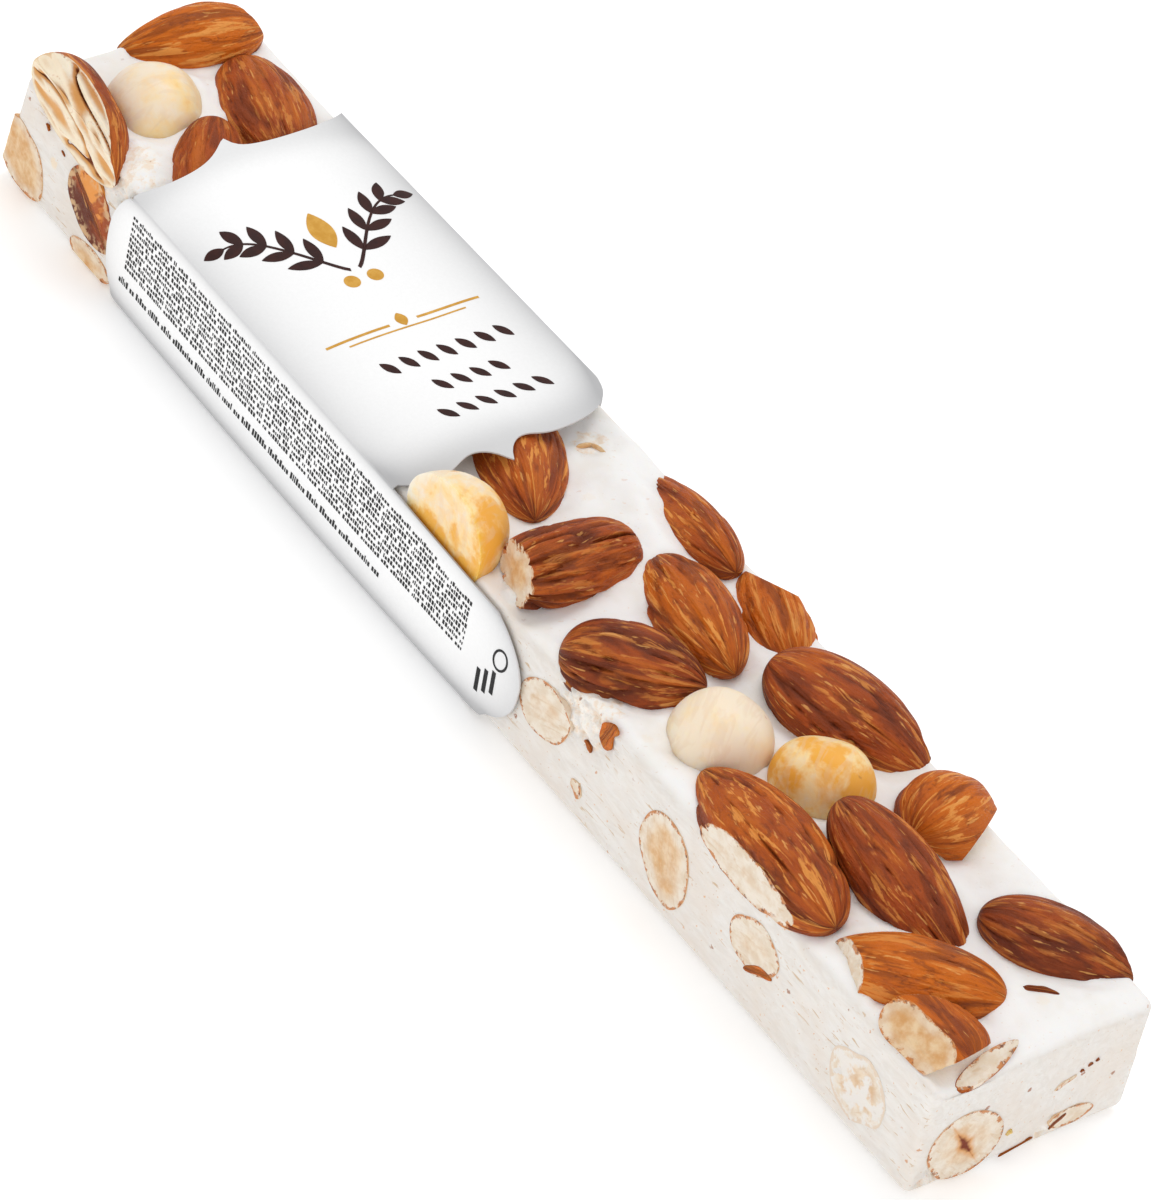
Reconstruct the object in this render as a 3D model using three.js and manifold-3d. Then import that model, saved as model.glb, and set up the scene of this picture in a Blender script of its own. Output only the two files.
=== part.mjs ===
// A bar of soft white nougat with whole and cut almonds and hazelnuts, held in a printed paper band.
// Millimetres. X runs along the bar, Y across it, Z up, and the origin is under the middle of the bar
// on the surface that it lies on. Heights in the tables below count from the underside of the nougat.
import * as THREE from 'three';
import { mergeVertices } from 'three/addons/utils/BufferGeometryUtils.js';
import Module from 'manifold-3d';

const wasm = await Module();
wasm.setup();

// ---- driving dimensions ----
const LENGTH = 181;          // the nougat block
const WIDTH = 30;
const HEIGHT = 16.6;
const FAR_SLANT = 2.4;       // how far the far end leans in at the top, from an oblique knife cut
const EDGE_LOW = 1.2;        // rounding of the lower long edges
const EDGE_TOP = 1.8;        // rounding of the upper long edges
const SWELL = 0.35;          // height of the waves in the pressed top
const GAP = 0.3;             // clearance between a nut and its pocket in the nougat

const PAPER = 0.35;          // thickness of the band, its glue and crease included
const BAND_CLEAR = 0.3;      // air between the band and the long sides of the nougat
const LIFT = 0.5;            // the band under the bar lifts the nougat by its thickness and some air
const BELLY = 0.4;           // how far the long sides of the band bow out low down
const BAND_FAR = -62.2;      // edges of the band on top of the bar
const BAND_NEAR = -8;
const BAND_CUSP = -2.8;      // where across the top both edges come to a point
const CREASE = 0.3;          // how far the creases lie under the top of the nougat
const CROWN = 1.7;           // how far the middle of the top panel stands over its creases
const CROWN_ENDS = 1.8;      // how much more it rises where its ends lie over nuts
const BEND = 1.2;            // radius of the lower corners of the band
const TONGUE = 17;           // how far the tongues on the long sides reach past the middle
const TONGUE_MIDDLE = 8.6;   // height of the tip of the tongues
const FRONT_FOLD = 17.2;     // height at which the round end of each side panel would close
const BACK_FOLD = 15;

const NEAR = LENGTH / 2;
const SIDE = WIDTH / 2;
const rad = THREE.MathUtils.degToRad;
const smooth = THREE.MathUtils.smoothstep;

const nougatPaint = { color: 0xf1ebe2, roughness: 0.62, metalness: 0 };
const skinPaint = { color: 0x8a4a24, roughness: 0.55, metalness: 0 };
const kernelPaint = { color: 0xe8d6ba, roughness: 0.6, metalness: 0 };
const roastPaint = { color: 0xe3bd7c, roughness: 0.45, metalness: 0 };
const paperPaint = { color: 0xf7f7f6, roughness: 0.35, metalness: 0 };

// Whole nuts and large pieces that stand out of the top: x, y and height of the middle over the
// top of the nougat, then length, width and thickness, then yaw, pitch and roll in degrees. The
// pointed end of an almond lies along its own +X. Cuts give a direction of the nut's own frame
// and how far from the middle of the nut the cut face lies.
const TOP_NUTS = [
  { name: 'almond_01', at: [-9.6, 1.2, -1.8], size: [24, 11.6, 8.4], turn: [-26, 8, 0] },
  { name: 'hazelnut_01', round: true, at: [-1.2, -14.8, 0.6], size: [14, 14, 13], turn: [22, 0, 0] },
  { name: 'almond_02', at: [9.1, -6.2, 0.9], size: [24.6, 10.2, 8.6], turn: [-88, 8, 0],
    cuts: [{ along: [1, 0.1, 0.15], off: 5.7 }] },
  { name: 'almond_03', at: [7.2, 12.2, -1.7], size: [22.5, 8.4, 7.4], turn: [174, -12, 4] },
  { name: 'almond_04', at: [21.4, 3.6, -0.3], size: [20, 10, 8.6], turn: [-10, 4, 0] },
  { name: 'almond_half_01', at: [24.8, 12.7, -1.9], size: [15.6, 9.2, 7.8], turn: [-18, -5, -3],
    cuts: [{ along: [-0.55, 0.45, 0.7], off: 3.9 }] },
  { name: 'almond_05', at: [24.7, -8.4, -0.2], size: [17, 11, 8.6], turn: [-135, -4, -7] },
  { name: 'hazelnut_02', round: true, at: [38.1, -5.1, -0.6], size: [12, 11, 11.6], turn: [39, 0, 0] },
  { name: 'hazelnut_03', round: true, at: [48.6, 1, -0.2], size: [12, 9.8, 11], turn: [37, 0, 0] },
  { name: 'almond_06', at: [42, 9.6, 0.2], size: [21.5, 11.6, 8.6], turn: [24, -10, 14],
    cuts: [{ along: [1, 0, -0.3], off: 9.2 }] },
  { name: 'almond_07', at: [54.6, -11.2, 0.5], size: [26.6, 12, 9.4], turn: [176, -3, -19] },
  { name: 'almond_08', at: [65.2, -0.8, 0.5], size: [22.6, 10.4, 8.8], turn: [9, -20, -5] },
  { name: 'almond_half_02', at: [58.6, 10.8, 0], size: [12, 11.2, 8.6], turn: [100, 0, 0],
    cuts: [{ along: [-1, -0.1, -0.9], off: 4.2 }, { along: [0.3, -1, 0], off: 4.4 }] },
  { name: 'almond_09', at: [76, -7.3, -0.5], size: [20.5, 10.2, 8.6], turn: [228, 2, 4],
    cuts: [{ along: [1, 0.5, 0.2], off: 7.4 }] },
  { name: 'almond_half_03', at: [85.1, -11.8, 1.8], size: [11.6, 10, 6.6], turn: [30, 0, -13],
    cuts: [{ along: [-0.6, -0.7, 0.35], off: 1.6 }] },
  { name: 'almond_10', at: [79, 10.2, -0.6], size: [18, 9.4, 8], turn: [38, -5, 0] },
  { name: 'almond_sliver_01', at: [89.5, -7.6, -1.2], size: [9.2, 3.2, 3.2], turn: [95, 24, 0],
    cuts: [{ along: [0.1, -0.2, 1], off: 0.4 }] },
  { name: 'almond_11', at: [-85.3, 5.8, 0], size: [18, 9.4, 8.4], turn: [-106, -7, 2],
    cuts: [{ along: [-1, -0.5, 0.3], off: 6.9 }] },
  { name: 'hazelnut_04', round: true, at: [-77.2, -4.2, -1.8], size: [12.8, 12, 12], turn: [-9, 0, 0] },
  { name: 'almond_12', at: [-70.4, 7.2, -0.8], size: [19.4, 11, 8], turn: [-12, -5, -2] },
  { name: 'almond_13', at: [-63.4, -5.6, -1], size: [20, 9.4, 7.2], turn: [-36, -16, -8] },
  { name: 'almond_half_04', at: [-76.4, -15, -0.2], size: [22, 10.6, 7.6], turn: [-6, -13, 5],
    cuts: [{ along: [0, -0.75, 0.6], off: 1.6 }] },
];

// Nuts that the knife has cut flush with a face of the bar: the face, the place along it and its
// height (or, underneath, the place across), then the long and short half width of the cut, how
// deep the nut runs into the bar, and the turn of the long half width from level in degrees.
const CUT_NUTS = [
  { name: 'cut_almond_01', face: 'front', at: [21.1, 9.3], half: [4.7, 3.6], depth: 4, turn: 20 },
  { name: 'cut_almond_02', face: 'front', at: [44.4, 7.6], half: [5.8, 4.2], depth: 4.4, turn: -67 },
  { name: 'cut_almond_03', face: 'front', at: [60.4, 9.4], half: [4.3, 3.3], depth: 4, turn: 11 },
  { name: 'cut_hazelnut_01', face: 'front', at: [79.8, 6.7], half: [5.2, 3.9], depth: 4.4, turn: 47 },
  { name: 'cut_almond_04', face: 'front', at: [-86.6, 4.4], half: [5.6, 4], depth: 4.2, turn: -34 },
  { name: 'cut_almond_05', face: 'front', at: [-72.2, 8.3], half: [5.3, 3.5], depth: 3, turn: -28 },
  { name: 'cut_almond_06', face: 'front', at: [-70.6, 1.2], half: [4.4, 1.8], depth: 3, turn: 2 },
  { name: 'cut_hazelnut_02', face: 'near', at: [-8.3, 5.2], half: [5.6, 4.5], depth: 4.6, turn: -42 },
  { name: 'cut_almond_07', face: 'near', at: [7, 2.5], half: [3.1, 1.4], depth: 3, turn: -2 },
  { name: 'cut_almond_08', face: 'back', at: [-80, 8.4], half: [5.2, 3.6], depth: 4, turn: 35 },
  { name: 'cut_hazelnut_03', face: 'back', at: [34, 5.6], half: [4.8, 4.3], depth: 4.2, turn: 10 },
  { name: 'cut_almond_09', face: 'back', at: [49, 8.2], half: [5.5, 3.4], depth: 4, turn: -24 },
  { name: 'cut_almond_10', face: 'back', at: [66, 4.6], half: [4.4, 3], depth: 4, turn: 58 },
  { name: 'cut_almond_11', face: 'back', at: [80, 7.4], half: [5.1, 3.5], depth: 4, turn: -12 },
  { name: 'cut_almond_12', face: 'far', at: [-3.5, 7.2], half: [5.2, 3.4], depth: 4, turn: 24 },
  { name: 'cut_hazelnut_04', face: 'far', at: [8.6, 4.8], half: [4.2, 3.8], depth: 4, turn: 0 },
  { name: 'cut_almond_13', face: 'under', at: [36, -4], half: [5.4, 3.6], depth: 4, turn: 30 },
  { name: 'cut_almond_14', face: 'under', at: [63, 5], half: [5.2, 3.4], depth: 4, turn: -50 },
  { name: 'cut_almond_15', face: 'under', at: [-78, 3], half: [4.8, 3.4], depth: 4, turn: 15 },
];

// ---- joining and cutting ----
function toSolid(geometry) {
  const bare = geometry.clone();
  bare.deleteAttribute('normal');
  bare.deleteAttribute('uv');
  const merged = mergeVertices(bare, 1e-4);
  const index = merged.index.array;
  const triangles = [];
  for (let i = 0; i < index.length; i += 3) {
    const [a, b, c] = [index[i], index[i + 1], index[i + 2]];
    if (a !== b && b !== c && c !== a) triangles.push(a, b, c);   // a pole of a turned form
  }
  return new wasm.Manifold(new wasm.Mesh({
    numProp: 3,
    vertProperties: new Float32Array(merged.attributes.position.array),
    triVerts: new Uint32Array(triangles),
  }));
}

function toMesh(solid, name, paint) {
  const data = solid.getMesh();
  const geometry = new THREE.BufferGeometry();
  geometry.setAttribute('position', new THREE.BufferAttribute(new Float32Array(data.vertProperties), 3));
  geometry.setIndex(new THREE.BufferAttribute(new Uint32Array(data.triVerts), 1));
  geometry.computeVertexNormals();
  const mesh = new THREE.Mesh(geometry, new THREE.MeshStandardMaterial(paint));
  mesh.name = name;
  mesh.position.z = LIFT;
  return mesh;
}

// A block whose near face lies on a point and that fills the side that the direction points to
function slab(point, direction, reach = 60) {
  const out = direction.clone().normalize();
  const block = new THREE.BoxGeometry(reach, reach, reach);
  block.applyQuaternion(new THREE.Quaternion().setFromUnitVectors(new THREE.Vector3(1, 0, 0), out));
  const middle = point.clone().addScaledVector(out, reach / 2);
  return toSolid(block.translate(middle.x, middle.y, middle.z));
}

// ---- nuts ----
// Half width along the axis of a nut whose blunt end is at -1 and whose tip is at +1
function almondOutline(t) {
  const blunt = Math.sqrt(Math.max(0, 1 - t * t));
  return t < 0 ? blunt : Math.pow(Math.max(0, 1 - t * t), 0.62) * (1 - 0.06 * t);
}

function roundOutline(t) {
  return Math.sqrt(Math.max(0, 1 - t * t)) * (1 + 0.05 * Math.max(0, t));
}

// A nut turned about its length and then pressed flat to its thickness
function nutForm([length, width, thickness], outline, grow = 0, around = 12, rings = 6) {
  const profile = [];
  for (let i = 0; i <= rings + 1; i++) {
    const t = -Math.cos(Math.PI * i / (rings + 1));
    const radius = i === 0 || i === rings + 1 ? 0 : outline(t) * (width / 2 + grow);
    profile.push(new THREE.Vector2(radius, t * (length / 2 + grow)));
  }
  const form = new THREE.LatheGeometry(profile, around);
  form.rotateZ(-Math.PI / 2);                       // the axis goes from up to along X
  return form.scale(1, 1, (thickness / 2 + grow) / (width / 2 + grow));
}

function topNut(nut, grow = 0) {
  const [yaw, pitch, roll] = nut.turn.map(rad);
  const place = new THREE.Matrix4().makeRotationFromEuler(new THREE.Euler(roll, -pitch, yaw, 'ZYX'));
  place.setPosition(nut.at[0], nut.at[1], HEIGHT + nut.at[2]);
  const outline = nut.round ? roundOutline : almondOutline;
  let solid = toSolid(nutForm(nut.size, outline, grow).applyMatrix4(place));
  for (const cut of nut.cuts ?? []) {
    const out = new THREE.Vector3(...cut.along).normalize().transformDirection(place);
    const point = new THREE.Vector3().setFromMatrixPosition(place).addScaledVector(out, cut.off + grow);
    solid = solid.subtract(slab(point, out));
  }
  return solid;
}

// Each face of the bar as a frame: its middle at the base, the way along it and the way out
const lean = Math.atan2(FAR_SLANT, HEIGHT);
const FACES = {
  front: { base: [0, -SIDE, 0], along: [1, 0, 0], up: [0, 0, 1] },
  back: { base: [0, SIDE, 0], along: [1, 0, 0], up: [0, 0, 1] },
  near: { base: [NEAR, 0, 0], along: [0, 1, 0], up: [0, 0, 1] },
  far: { base: [-NEAR, 0, 0], along: [0, 1, 0], up: [Math.sin(lean), 0, Math.cos(lean)] },
  under: { base: [0, 0, 0], along: [1, 0, 0], up: [0, 1, 0] },
};

function cutNut(nut, grow = 0) {
  const face = FACES[nut.face];
  const along = new THREE.Vector3(...face.along);
  const up = new THREE.Vector3(...face.up);
  const place = new THREE.Matrix4().makeBasis(along, up, along.clone().cross(up));
  const middle = new THREE.Vector3(...face.base);
  middle.addScaledVector(along, nut.at[0]).addScaledVector(up, nut.at[1]);
  const size = [2 * nut.half[0], 2 * nut.half[1], 2 * nut.depth];
  const form = nutForm(size, roundOutline, grow, 12, 4).rotateZ(rad(nut.turn));
  return toSolid(form.applyMatrix4(place).translate(middle.x, middle.y, middle.z));
}

// ---- nougat ----
// Waves and presses of the top face, which stay flat under the band
function topRelief(x, y) {
  const open = 1 - smooth(x, -72, -60) * (1 - smooth(x, -12, -4));
  const wave = Math.sin(x / 7.3 + y / 5.1) + 0.7 * Math.sin(x / 12.4 - y / 6.2 + 1.3);
  const ridge = 1.5 * Math.exp(-((x - 68) ** 2) / 60 - ((y - 11) ** 2) / 16);
  const bank = 1.1 * Math.exp(-((x - 3) ** 2) / 30 - ((y - 9) ** 2) / 14);
  return open * (SWELL * wave + ridge + bank) - 0.4 * (1 - open);
}

// The cross-section of the bar, with points across the top for its waves to lift
function nougatSection() {
  const section = new THREE.Shape();
  section.moveTo(-SIDE + EDGE_LOW, 0).lineTo(SIDE - EDGE_LOW, 0).lineTo(SIDE, EDGE_LOW);
  section.lineTo(SIDE, HEIGHT - EDGE_TOP).lineTo(SIDE - 0.3 * EDGE_TOP, HEIGHT - 0.3 * EDGE_TOP);
  for (let y = SIDE - EDGE_TOP; y > -SIDE + EDGE_TOP - 1; y -= (WIDTH - 2 * EDGE_TOP) / 6) {
    section.lineTo(y, HEIGHT);
  }
  section.lineTo(-SIDE + 0.3 * EDGE_TOP, HEIGHT - 0.3 * EDGE_TOP).lineTo(-SIDE, HEIGHT - EDGE_TOP);
  section.lineTo(-SIDE, EDGE_LOW).lineTo(-SIDE + EDGE_LOW, 0);
  return section;
}

function nougatBlock() {
  const form = new THREE.ExtrudeGeometry(nougatSection(), {
    depth: LENGTH, steps: 36, bevelEnabled: false,
  });
  const turn = new THREE.Matrix4().makeBasis(
    new THREE.Vector3(0, 1, 0), new THREE.Vector3(0, 0, 1), new THREE.Vector3(1, 0, 0));
  form.applyMatrix4(turn).translate(-LENGTH / 2, 0, 0);
  const spot = form.attributes.position;
  for (let i = 0; i < spot.count; i++) {
    let [x, y, z] = [spot.getX(i), spot.getY(i), spot.getZ(i)];
    const nearEdge = EDGE_TOP * smooth(x, NEAR - 4, NEAR) ** 2;
    if (z > HEIGHT - EDGE_TOP - 0.01) {
      z += (topRelief(x, y) - nearEdge) * smooth(SIDE - Math.abs(y), -0.5, EDGE_TOP);
    }
    x += FAR_SLANT * (z / HEIGHT) * (1 - smooth(x, -NEAR, -NEAR + 20));
    spot.setXYZ(i, x, y, z);
  }
  return toSolid(form);
}

// Everything inside the faces that the knife made, open above, so that nuts are cut flush with them
function trimToBar(solid) {
  const up = new THREE.Vector3(...FACES.far.up);
  const farOut = new THREE.Vector3(0, 1, 0).cross(up).negate();
  const faces = [
    [new THREE.Vector3(0, -SIDE, 0), new THREE.Vector3(0, -1, 0)],
    [new THREE.Vector3(0, SIDE, 0), new THREE.Vector3(0, 1, 0)],
    [new THREE.Vector3(NEAR, 0, 0), new THREE.Vector3(1, 0, 0)],
    [new THREE.Vector3(-NEAR, 0, 0), farOut],
    [new THREE.Vector3(0, 0, 0), new THREE.Vector3(0, 0, -1)],
  ];
  const box = solid.boundingBox();
  for (const [point, out] of faces) {
    const middle = new THREE.Vector3(
      (box.min[0] + box.max[0]) / 2, (box.min[1] + box.max[1]) / 2, (box.min[2] + box.max[2]) / 2);
    const beside = middle.addScaledVector(out, out.dot(point) - out.dot(middle));
    solid = solid.subtract(slab(beside, out));
  }
  return solid;
}

// ---- paper band ----
const WALL = SIDE + BAND_CLEAR + PAPER;

function crownHeight(x, y) {
  const ends = smooth(Math.abs(x - (BAND_FAR + BAND_NEAR) / 2), 12, 28);
  const arch = 1 - Math.min(1, Math.abs(y) / WALL) ** 2.5;
  return HEIGHT - CREASE + arch * (CROWN + CROWN_ENDS * ends);
}

// Edges of the top panel: a brace outline with a cusp, shallow bites beside it and round shoulders
function topEdges(y) {
  const off = Math.abs(y - BAND_CUSP);
  const across = Math.abs(y) / WALL;
  const cusp = 2.8 * Math.exp(-off / 1.1);
  const bite = 0.8 * Math.exp(-(((off - 3.6) / 2.4) ** 2));
  const farShoulder = y > 0 ? 0.7 + 4.6 * across ** 2.2 : 2 * across ** 3.5;
  const nearShoulder = y > 0 ? 5.6 * across ** 3.5 : 3.2 * across ** 10;
  const lobe = 0.5 * Math.exp(-(((y + 10.8) / 3) ** 2));
  return [BAND_FAR - cusp - farShoulder, BAND_NEAR + cusp - bite + lobe - nearShoulder];
}

// Edges of a side panel at a height: far end bowed out, near end drawn out to a round tongue
// that closes under the fold. On the back it closes a little lower.
function sideEdges(z, fold) {
  const off = z < TONGUE_MIDDLE
    ? (TONGUE_MIDDLE - z) / TONGUE_MIDDLE : (z - TONGUE_MIDDLE) / (fold - TONGUE_MIDDLE);
  const bow = z < TONGUE_MIDDLE ? Math.sqrt(1 - off ** 2.6) : Math.max(0, 1 - off * off) ** 0.7;
  const far = -62 - 5.4 * bow;
  return [far, bow > 0 ? 5 + (TONGUE - 5) * bow : BAND_NEAR - 5.2];
}

// Stations round the sleeve, from the middle of the underside up the back, over the top and down
function bandStations() {
  const half = [];
  for (const y of [0, WALL / 2, WALL - BEND]) half.push({ y, z: -LIFT, edges: [-62, 5] });
  for (const angle of [30, 60, 90]) {
    const rise = BEND * (1 - Math.cos(rad(angle)));
    const y = WALL - BEND + BEND * Math.sin(rad(angle));
    half.push({ y, z: rise - LIFT, edges: sideEdges(rise, BACK_FOLD), side: rise });
  }
  for (const z of [2.2, 4, 6, 8.6, 11.4, 13.4, 14.6, 15.2]) {
    half.push({ y: WALL, z, edges: sideEdges(z, BACK_FOLD), side: z });
  }
  half.push({ y: WALL, z: HEIGHT - CREASE - 0.6, edges: topEdges(SIDE), frontEdges: [-63.8, 3] });
  half.push({ y: WALL, z: HEIGHT - CREASE - 0.2, edges: topEdges(SIDE), frontEdges: topEdges(-SIDE) });
  for (const y of [15.1, 14.4, 13, 10.5, 7.5, 4.5]) half.push({ y, edges: topEdges(y), top: true });
  const other = half.slice(1).reverse().map((station) => ({ ...station, y: -station.y }));
  for (const station of other) {
    if (station.top) station.edges = topEdges(station.y);
    if (station.side) station.edges = sideEdges(station.side, FRONT_FOLD);
    if (station.frontEdges) station.edges = station.frontEdges;
  }
  const middle = [2, 0, -1.3, BAND_CUSP, -4.1].map((y) => ({ y, edges: topEdges(y), top: true }));
  return [...half, ...middle, ...other];
}

function paperBand() {
  const stations = bandStations();
  const columns = [0, 0.14, 0.3, 0.7, 0.86, 1];
  const count = stations.length;
  const points = [];
  const ring = (column, inset) => stations.map((station, i) => {
    const at = (k) => stations[(k + count) % count];
    const spot = (k) => {
      const { y, z, edges, top } = at(k);
      const x = edges[0] + (edges[1] - edges[0]) * columns[column];
      if (top) return new THREE.Vector3(x, y, crownHeight(x, y));
      const bow = BELLY * Math.sin(Math.PI * columns[column]) * (1 - z / HEIGHT);
      return new THREE.Vector3(x, y * (1 + bow / WALL), z);
    };
    const along = new THREE.Vector2(spot(i + 1).y - spot(i - 1).y, spot(i + 1).z - spot(i - 1).z);
    const normal = new THREE.Vector2(along.y, -along.x).normalize();
    const here = spot(i);
    return [here.x, here.y - inset * normal.x, here.z - inset * normal.y];
  });
  for (const inset of [0, PAPER]) {
    for (let column = 0; column < columns.length; column++) points.push(...ring(column, inset));
  }
  const at = (layer, column, i) => (layer * columns.length + column) * count + (i % count);
  const faces = [];
  const quad = (a, b, c, d) => faces.push(a, c, b, a, d, c);
  for (let i = 0; i < count; i++) {
    for (let c = 0; c + 1 < columns.length; c++) {
      quad(at(0, c, i), at(0, c + 1, i), at(0, c + 1, i + 1), at(0, c, i + 1));
      quad(at(1, c, i), at(1, c, i + 1), at(1, c + 1, i + 1), at(1, c + 1, i));
    }
    const last = columns.length - 1;
    quad(at(0, 0, i), at(0, 0, i + 1), at(1, 0, i + 1), at(1, 0, i));
    quad(at(0, last, i), at(1, last, i), at(1, last, i + 1), at(0, last, i + 1));
  }
  const form = new THREE.BufferGeometry();
  form.setAttribute('position', new THREE.BufferAttribute(new Float32Array(points.flat()), 3));
  form.setIndex(faces);
  return toSolid(form);
}

// ---- the bar ----
const bar = new THREE.Group();
let nougat = nougatBlock();

for (const nut of TOP_NUTS) {
  nougat = nougat.subtract(topNut(nut, GAP));
  const paint = nut.round ? roastPaint : skinPaint;
  bar.add(toMesh(trimToBar(topNut(nut)), nut.name, paint));
}
for (const nut of CUT_NUTS) {
  nougat = nougat.subtract(cutNut(nut, GAP));
  bar.add(toMesh(trimToBar(cutNut(nut)), nut.name, kernelPaint));
}
bar.add(toMesh(nougat, 'nougat', nougatPaint));
bar.add(toMesh(paperBand(), 'paper_band', paperPaint));

export default bar;
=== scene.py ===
import random
from math import atan2, cos, degrees, exp, hypot, pi, radians, sin, sqrt

import bmesh
import bpy
import numpy as np
from mathutils import Matrix, Vector, noise


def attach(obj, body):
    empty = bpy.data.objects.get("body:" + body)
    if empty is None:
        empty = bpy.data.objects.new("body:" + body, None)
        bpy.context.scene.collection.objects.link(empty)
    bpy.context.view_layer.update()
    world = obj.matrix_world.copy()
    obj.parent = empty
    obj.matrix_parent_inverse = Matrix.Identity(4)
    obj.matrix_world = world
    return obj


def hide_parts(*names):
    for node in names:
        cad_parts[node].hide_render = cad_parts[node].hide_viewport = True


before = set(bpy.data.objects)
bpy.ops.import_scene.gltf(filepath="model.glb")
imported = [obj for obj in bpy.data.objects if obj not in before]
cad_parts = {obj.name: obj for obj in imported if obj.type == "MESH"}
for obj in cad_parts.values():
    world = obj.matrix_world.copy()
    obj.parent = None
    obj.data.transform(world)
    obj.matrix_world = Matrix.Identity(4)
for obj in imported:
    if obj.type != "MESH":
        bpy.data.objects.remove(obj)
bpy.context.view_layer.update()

# ---- Nougat ----
# The block of soft white nougat: whipped honey, sugar and egg white, pressed flat while warm and
# then cut from a slab with a knife. Its top keeps the waves of the pressing, and its other faces
# are flat cuts with fine drag marks and crumbs of nut skin in them.
MM = 0.001
LENGTH, WIDTH, HEIGHT = 181.0, 30.0, 16.6      # the block, in millimetres
NEAR, SIDE = LENGTH / 2, WIDTH / 2
LIFT = 0.5                                     # the band under the bar holds it this far up
FAR_SLANT = 2.4                                # lean of the far end, from an oblique cut
EDGE_LOW, EDGE_TOP, EDGE_END = 1.2, 1.8, 1.0   # rounding of the edges
SWELL = 0.35                                   # waves of the pressed top
NEAR_DROOP = 0.9                               # how far the top sinks towards the near end
BAND_PRESS = 0.4                               # how far the band presses the top down
BANK, DIP, DIP_DEEP = 1.2, 1.3, 0.75           # nougat at the foot of a nut: widths and depth
DRAG, DRAG_FINE = 0.07, 0.05                   # depth of the knife's drag marks
FLAKE, FLAKE_DOWN = 1.5, 0.8                   # depth of the torn patches, inwards and from the top
CELL = 0.5                                     # spacing of the block's surface points

# Whole nuts and large pieces that stand out of the top: middle (x, y, height over the top), then
# length, width and thickness, then yaw, pitch and roll, and the cuts as a direction of the nut's
# own frame with their distance from its middle. Last: skin tone from dark to orange, golden
# scratches, depth of the wrinkles, and colour of the cut flesh from pale to tan.
ALMONDS = {
    "almond_01": ((-9.6, 1.2, -1.8), (24, 11.6, 8.4), (-26, 8, 0), (), (0.6, 0.9, 0.7, 0)),
    "almond_02": ((9.1, -6.8, 0.9), (22.4, 10, 8.6), (-88, 8, 0), (((1, -0.27, 0), 5.4),),
                  (0.64, 0.35, 2.4, 0.6)),
    "almond_03": ((7.2, 12.6, -1.7), (22.5, 7.6, 7.4), (174, -12, 4), (), (0.68, 0.9, 0.7, 0)),
    "almond_04": ((21.4, 3.6, -0.3), (20, 10, 8.6), (-10, 4, 0), (), (0.78, 1, 0.8, 0)),
    "almond_half_01": ((24.8, 12.7, -1.9), (15.6, 9.2, 7.8), (-18, -5, -3),
                       (((-0.55, 0.45, 0.7), 3.9),), (0.92, 0.7, 0.6, 0.2)),
    "almond_05": ((25.2, -7.6, -0.2), (16.6, 10.8, 8.6), (41, 4, 7), (), (0.26, 0.5, 1.5, 0)),
    "almond_06": ((42, 9.6, 0.2), (21.5, 11.6, 8.6), (24, -10, 14), (((1, 0, -0.3), 9.2),),
                  (0.46, 0.6, 1.2, 0.6)),
    "almond_07": ((54.6, -10.8, 0.5), (26.3, 11, 9.4), (176, -3, -19), (), (0.66, 0.9, 1.2, 0.05)),
    "almond_08": ((65.2, -0.8, 0.5), (22.6, 10.4, 8.8), (9, -20, -5), (), (0.46, 0.7, 0.9, 0)),
    "almond_half_02": ((58.6, 10.8, 0), (12, 11.2, 8.6), (100, 0, 0),
                       (((-1, -0.1, -0.9), 4.2), ((0.345, -0.92, -0.3), 3.8)),
                       (0.88, 1.1, 0.5, 0.4)),
    "almond_09": ((76, -7.3, -0.5), (20.5, 10.2, 8.6), (228, 2, 4), (((1, 0.5, 0.2), 6.6),),
                  (1.05, 0.6, 0.6, 0.2)),
    "almond_half_03": ((84.1, -10.7, 0.5), (11.6, 9.4, 5.4), (6, 0, 0),
                       (((0, -0.8, 0.6), 2.5), ((-0.74, 0.67, 0), 2.8), ((0.8, 0, -0.6), 3.3)),
                       (0.82, 1.1, 0.6, 0.7)),
    "almond_10": ((79, 10.2, -0.6), (18, 9.4, 8), (38, -5, 0), (), (0.26, 0.35, 0.8, 0)),
    "almond_sliver_01": ((89.4, -7.6, -0.9), (9.2, 2.3, 3.2), (95, 22, 0),
                         (((0.1, -0.6, 1), 0.4),), (0.7, 0.3, 0.2, 0.1)),
    "almond_11": ((-85.3, 5.8, 0), (18, 9.4, 8.4), (-106, -7, 2), (((-1, -0.5, 0.3), 6.9),),
                  (1.25, 1, 0.5, 0.3)),
    "almond_12": ((-70.4, 7.2, -0.8), (19.4, 11, 8), (-12, -5, -2), (), (0.55, 0.5, 0.8, 0)),
    "almond_13": ((-63, -5.9, -1.6), (20, 9.4, 7.2), (-36, -16, -8), (), (0.6, 0.35, 0.5, 0)),
    "almond_half_04": ((-77.4, -15, 0.1), (19.6, 10.6, 8.4), (-6, -12, 5),
                       (((0, -0.62, 0.78), 1.5),), (0.42, 0.7, 0.6, 0.36)),
}
BLUNT = {"almond_02": 4, "almond_05": 3, "almond_half_04": 3.4}   # broader ends than the others'
STUBS = ("almond_half_03",)                                       # broken off at both ends
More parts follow.
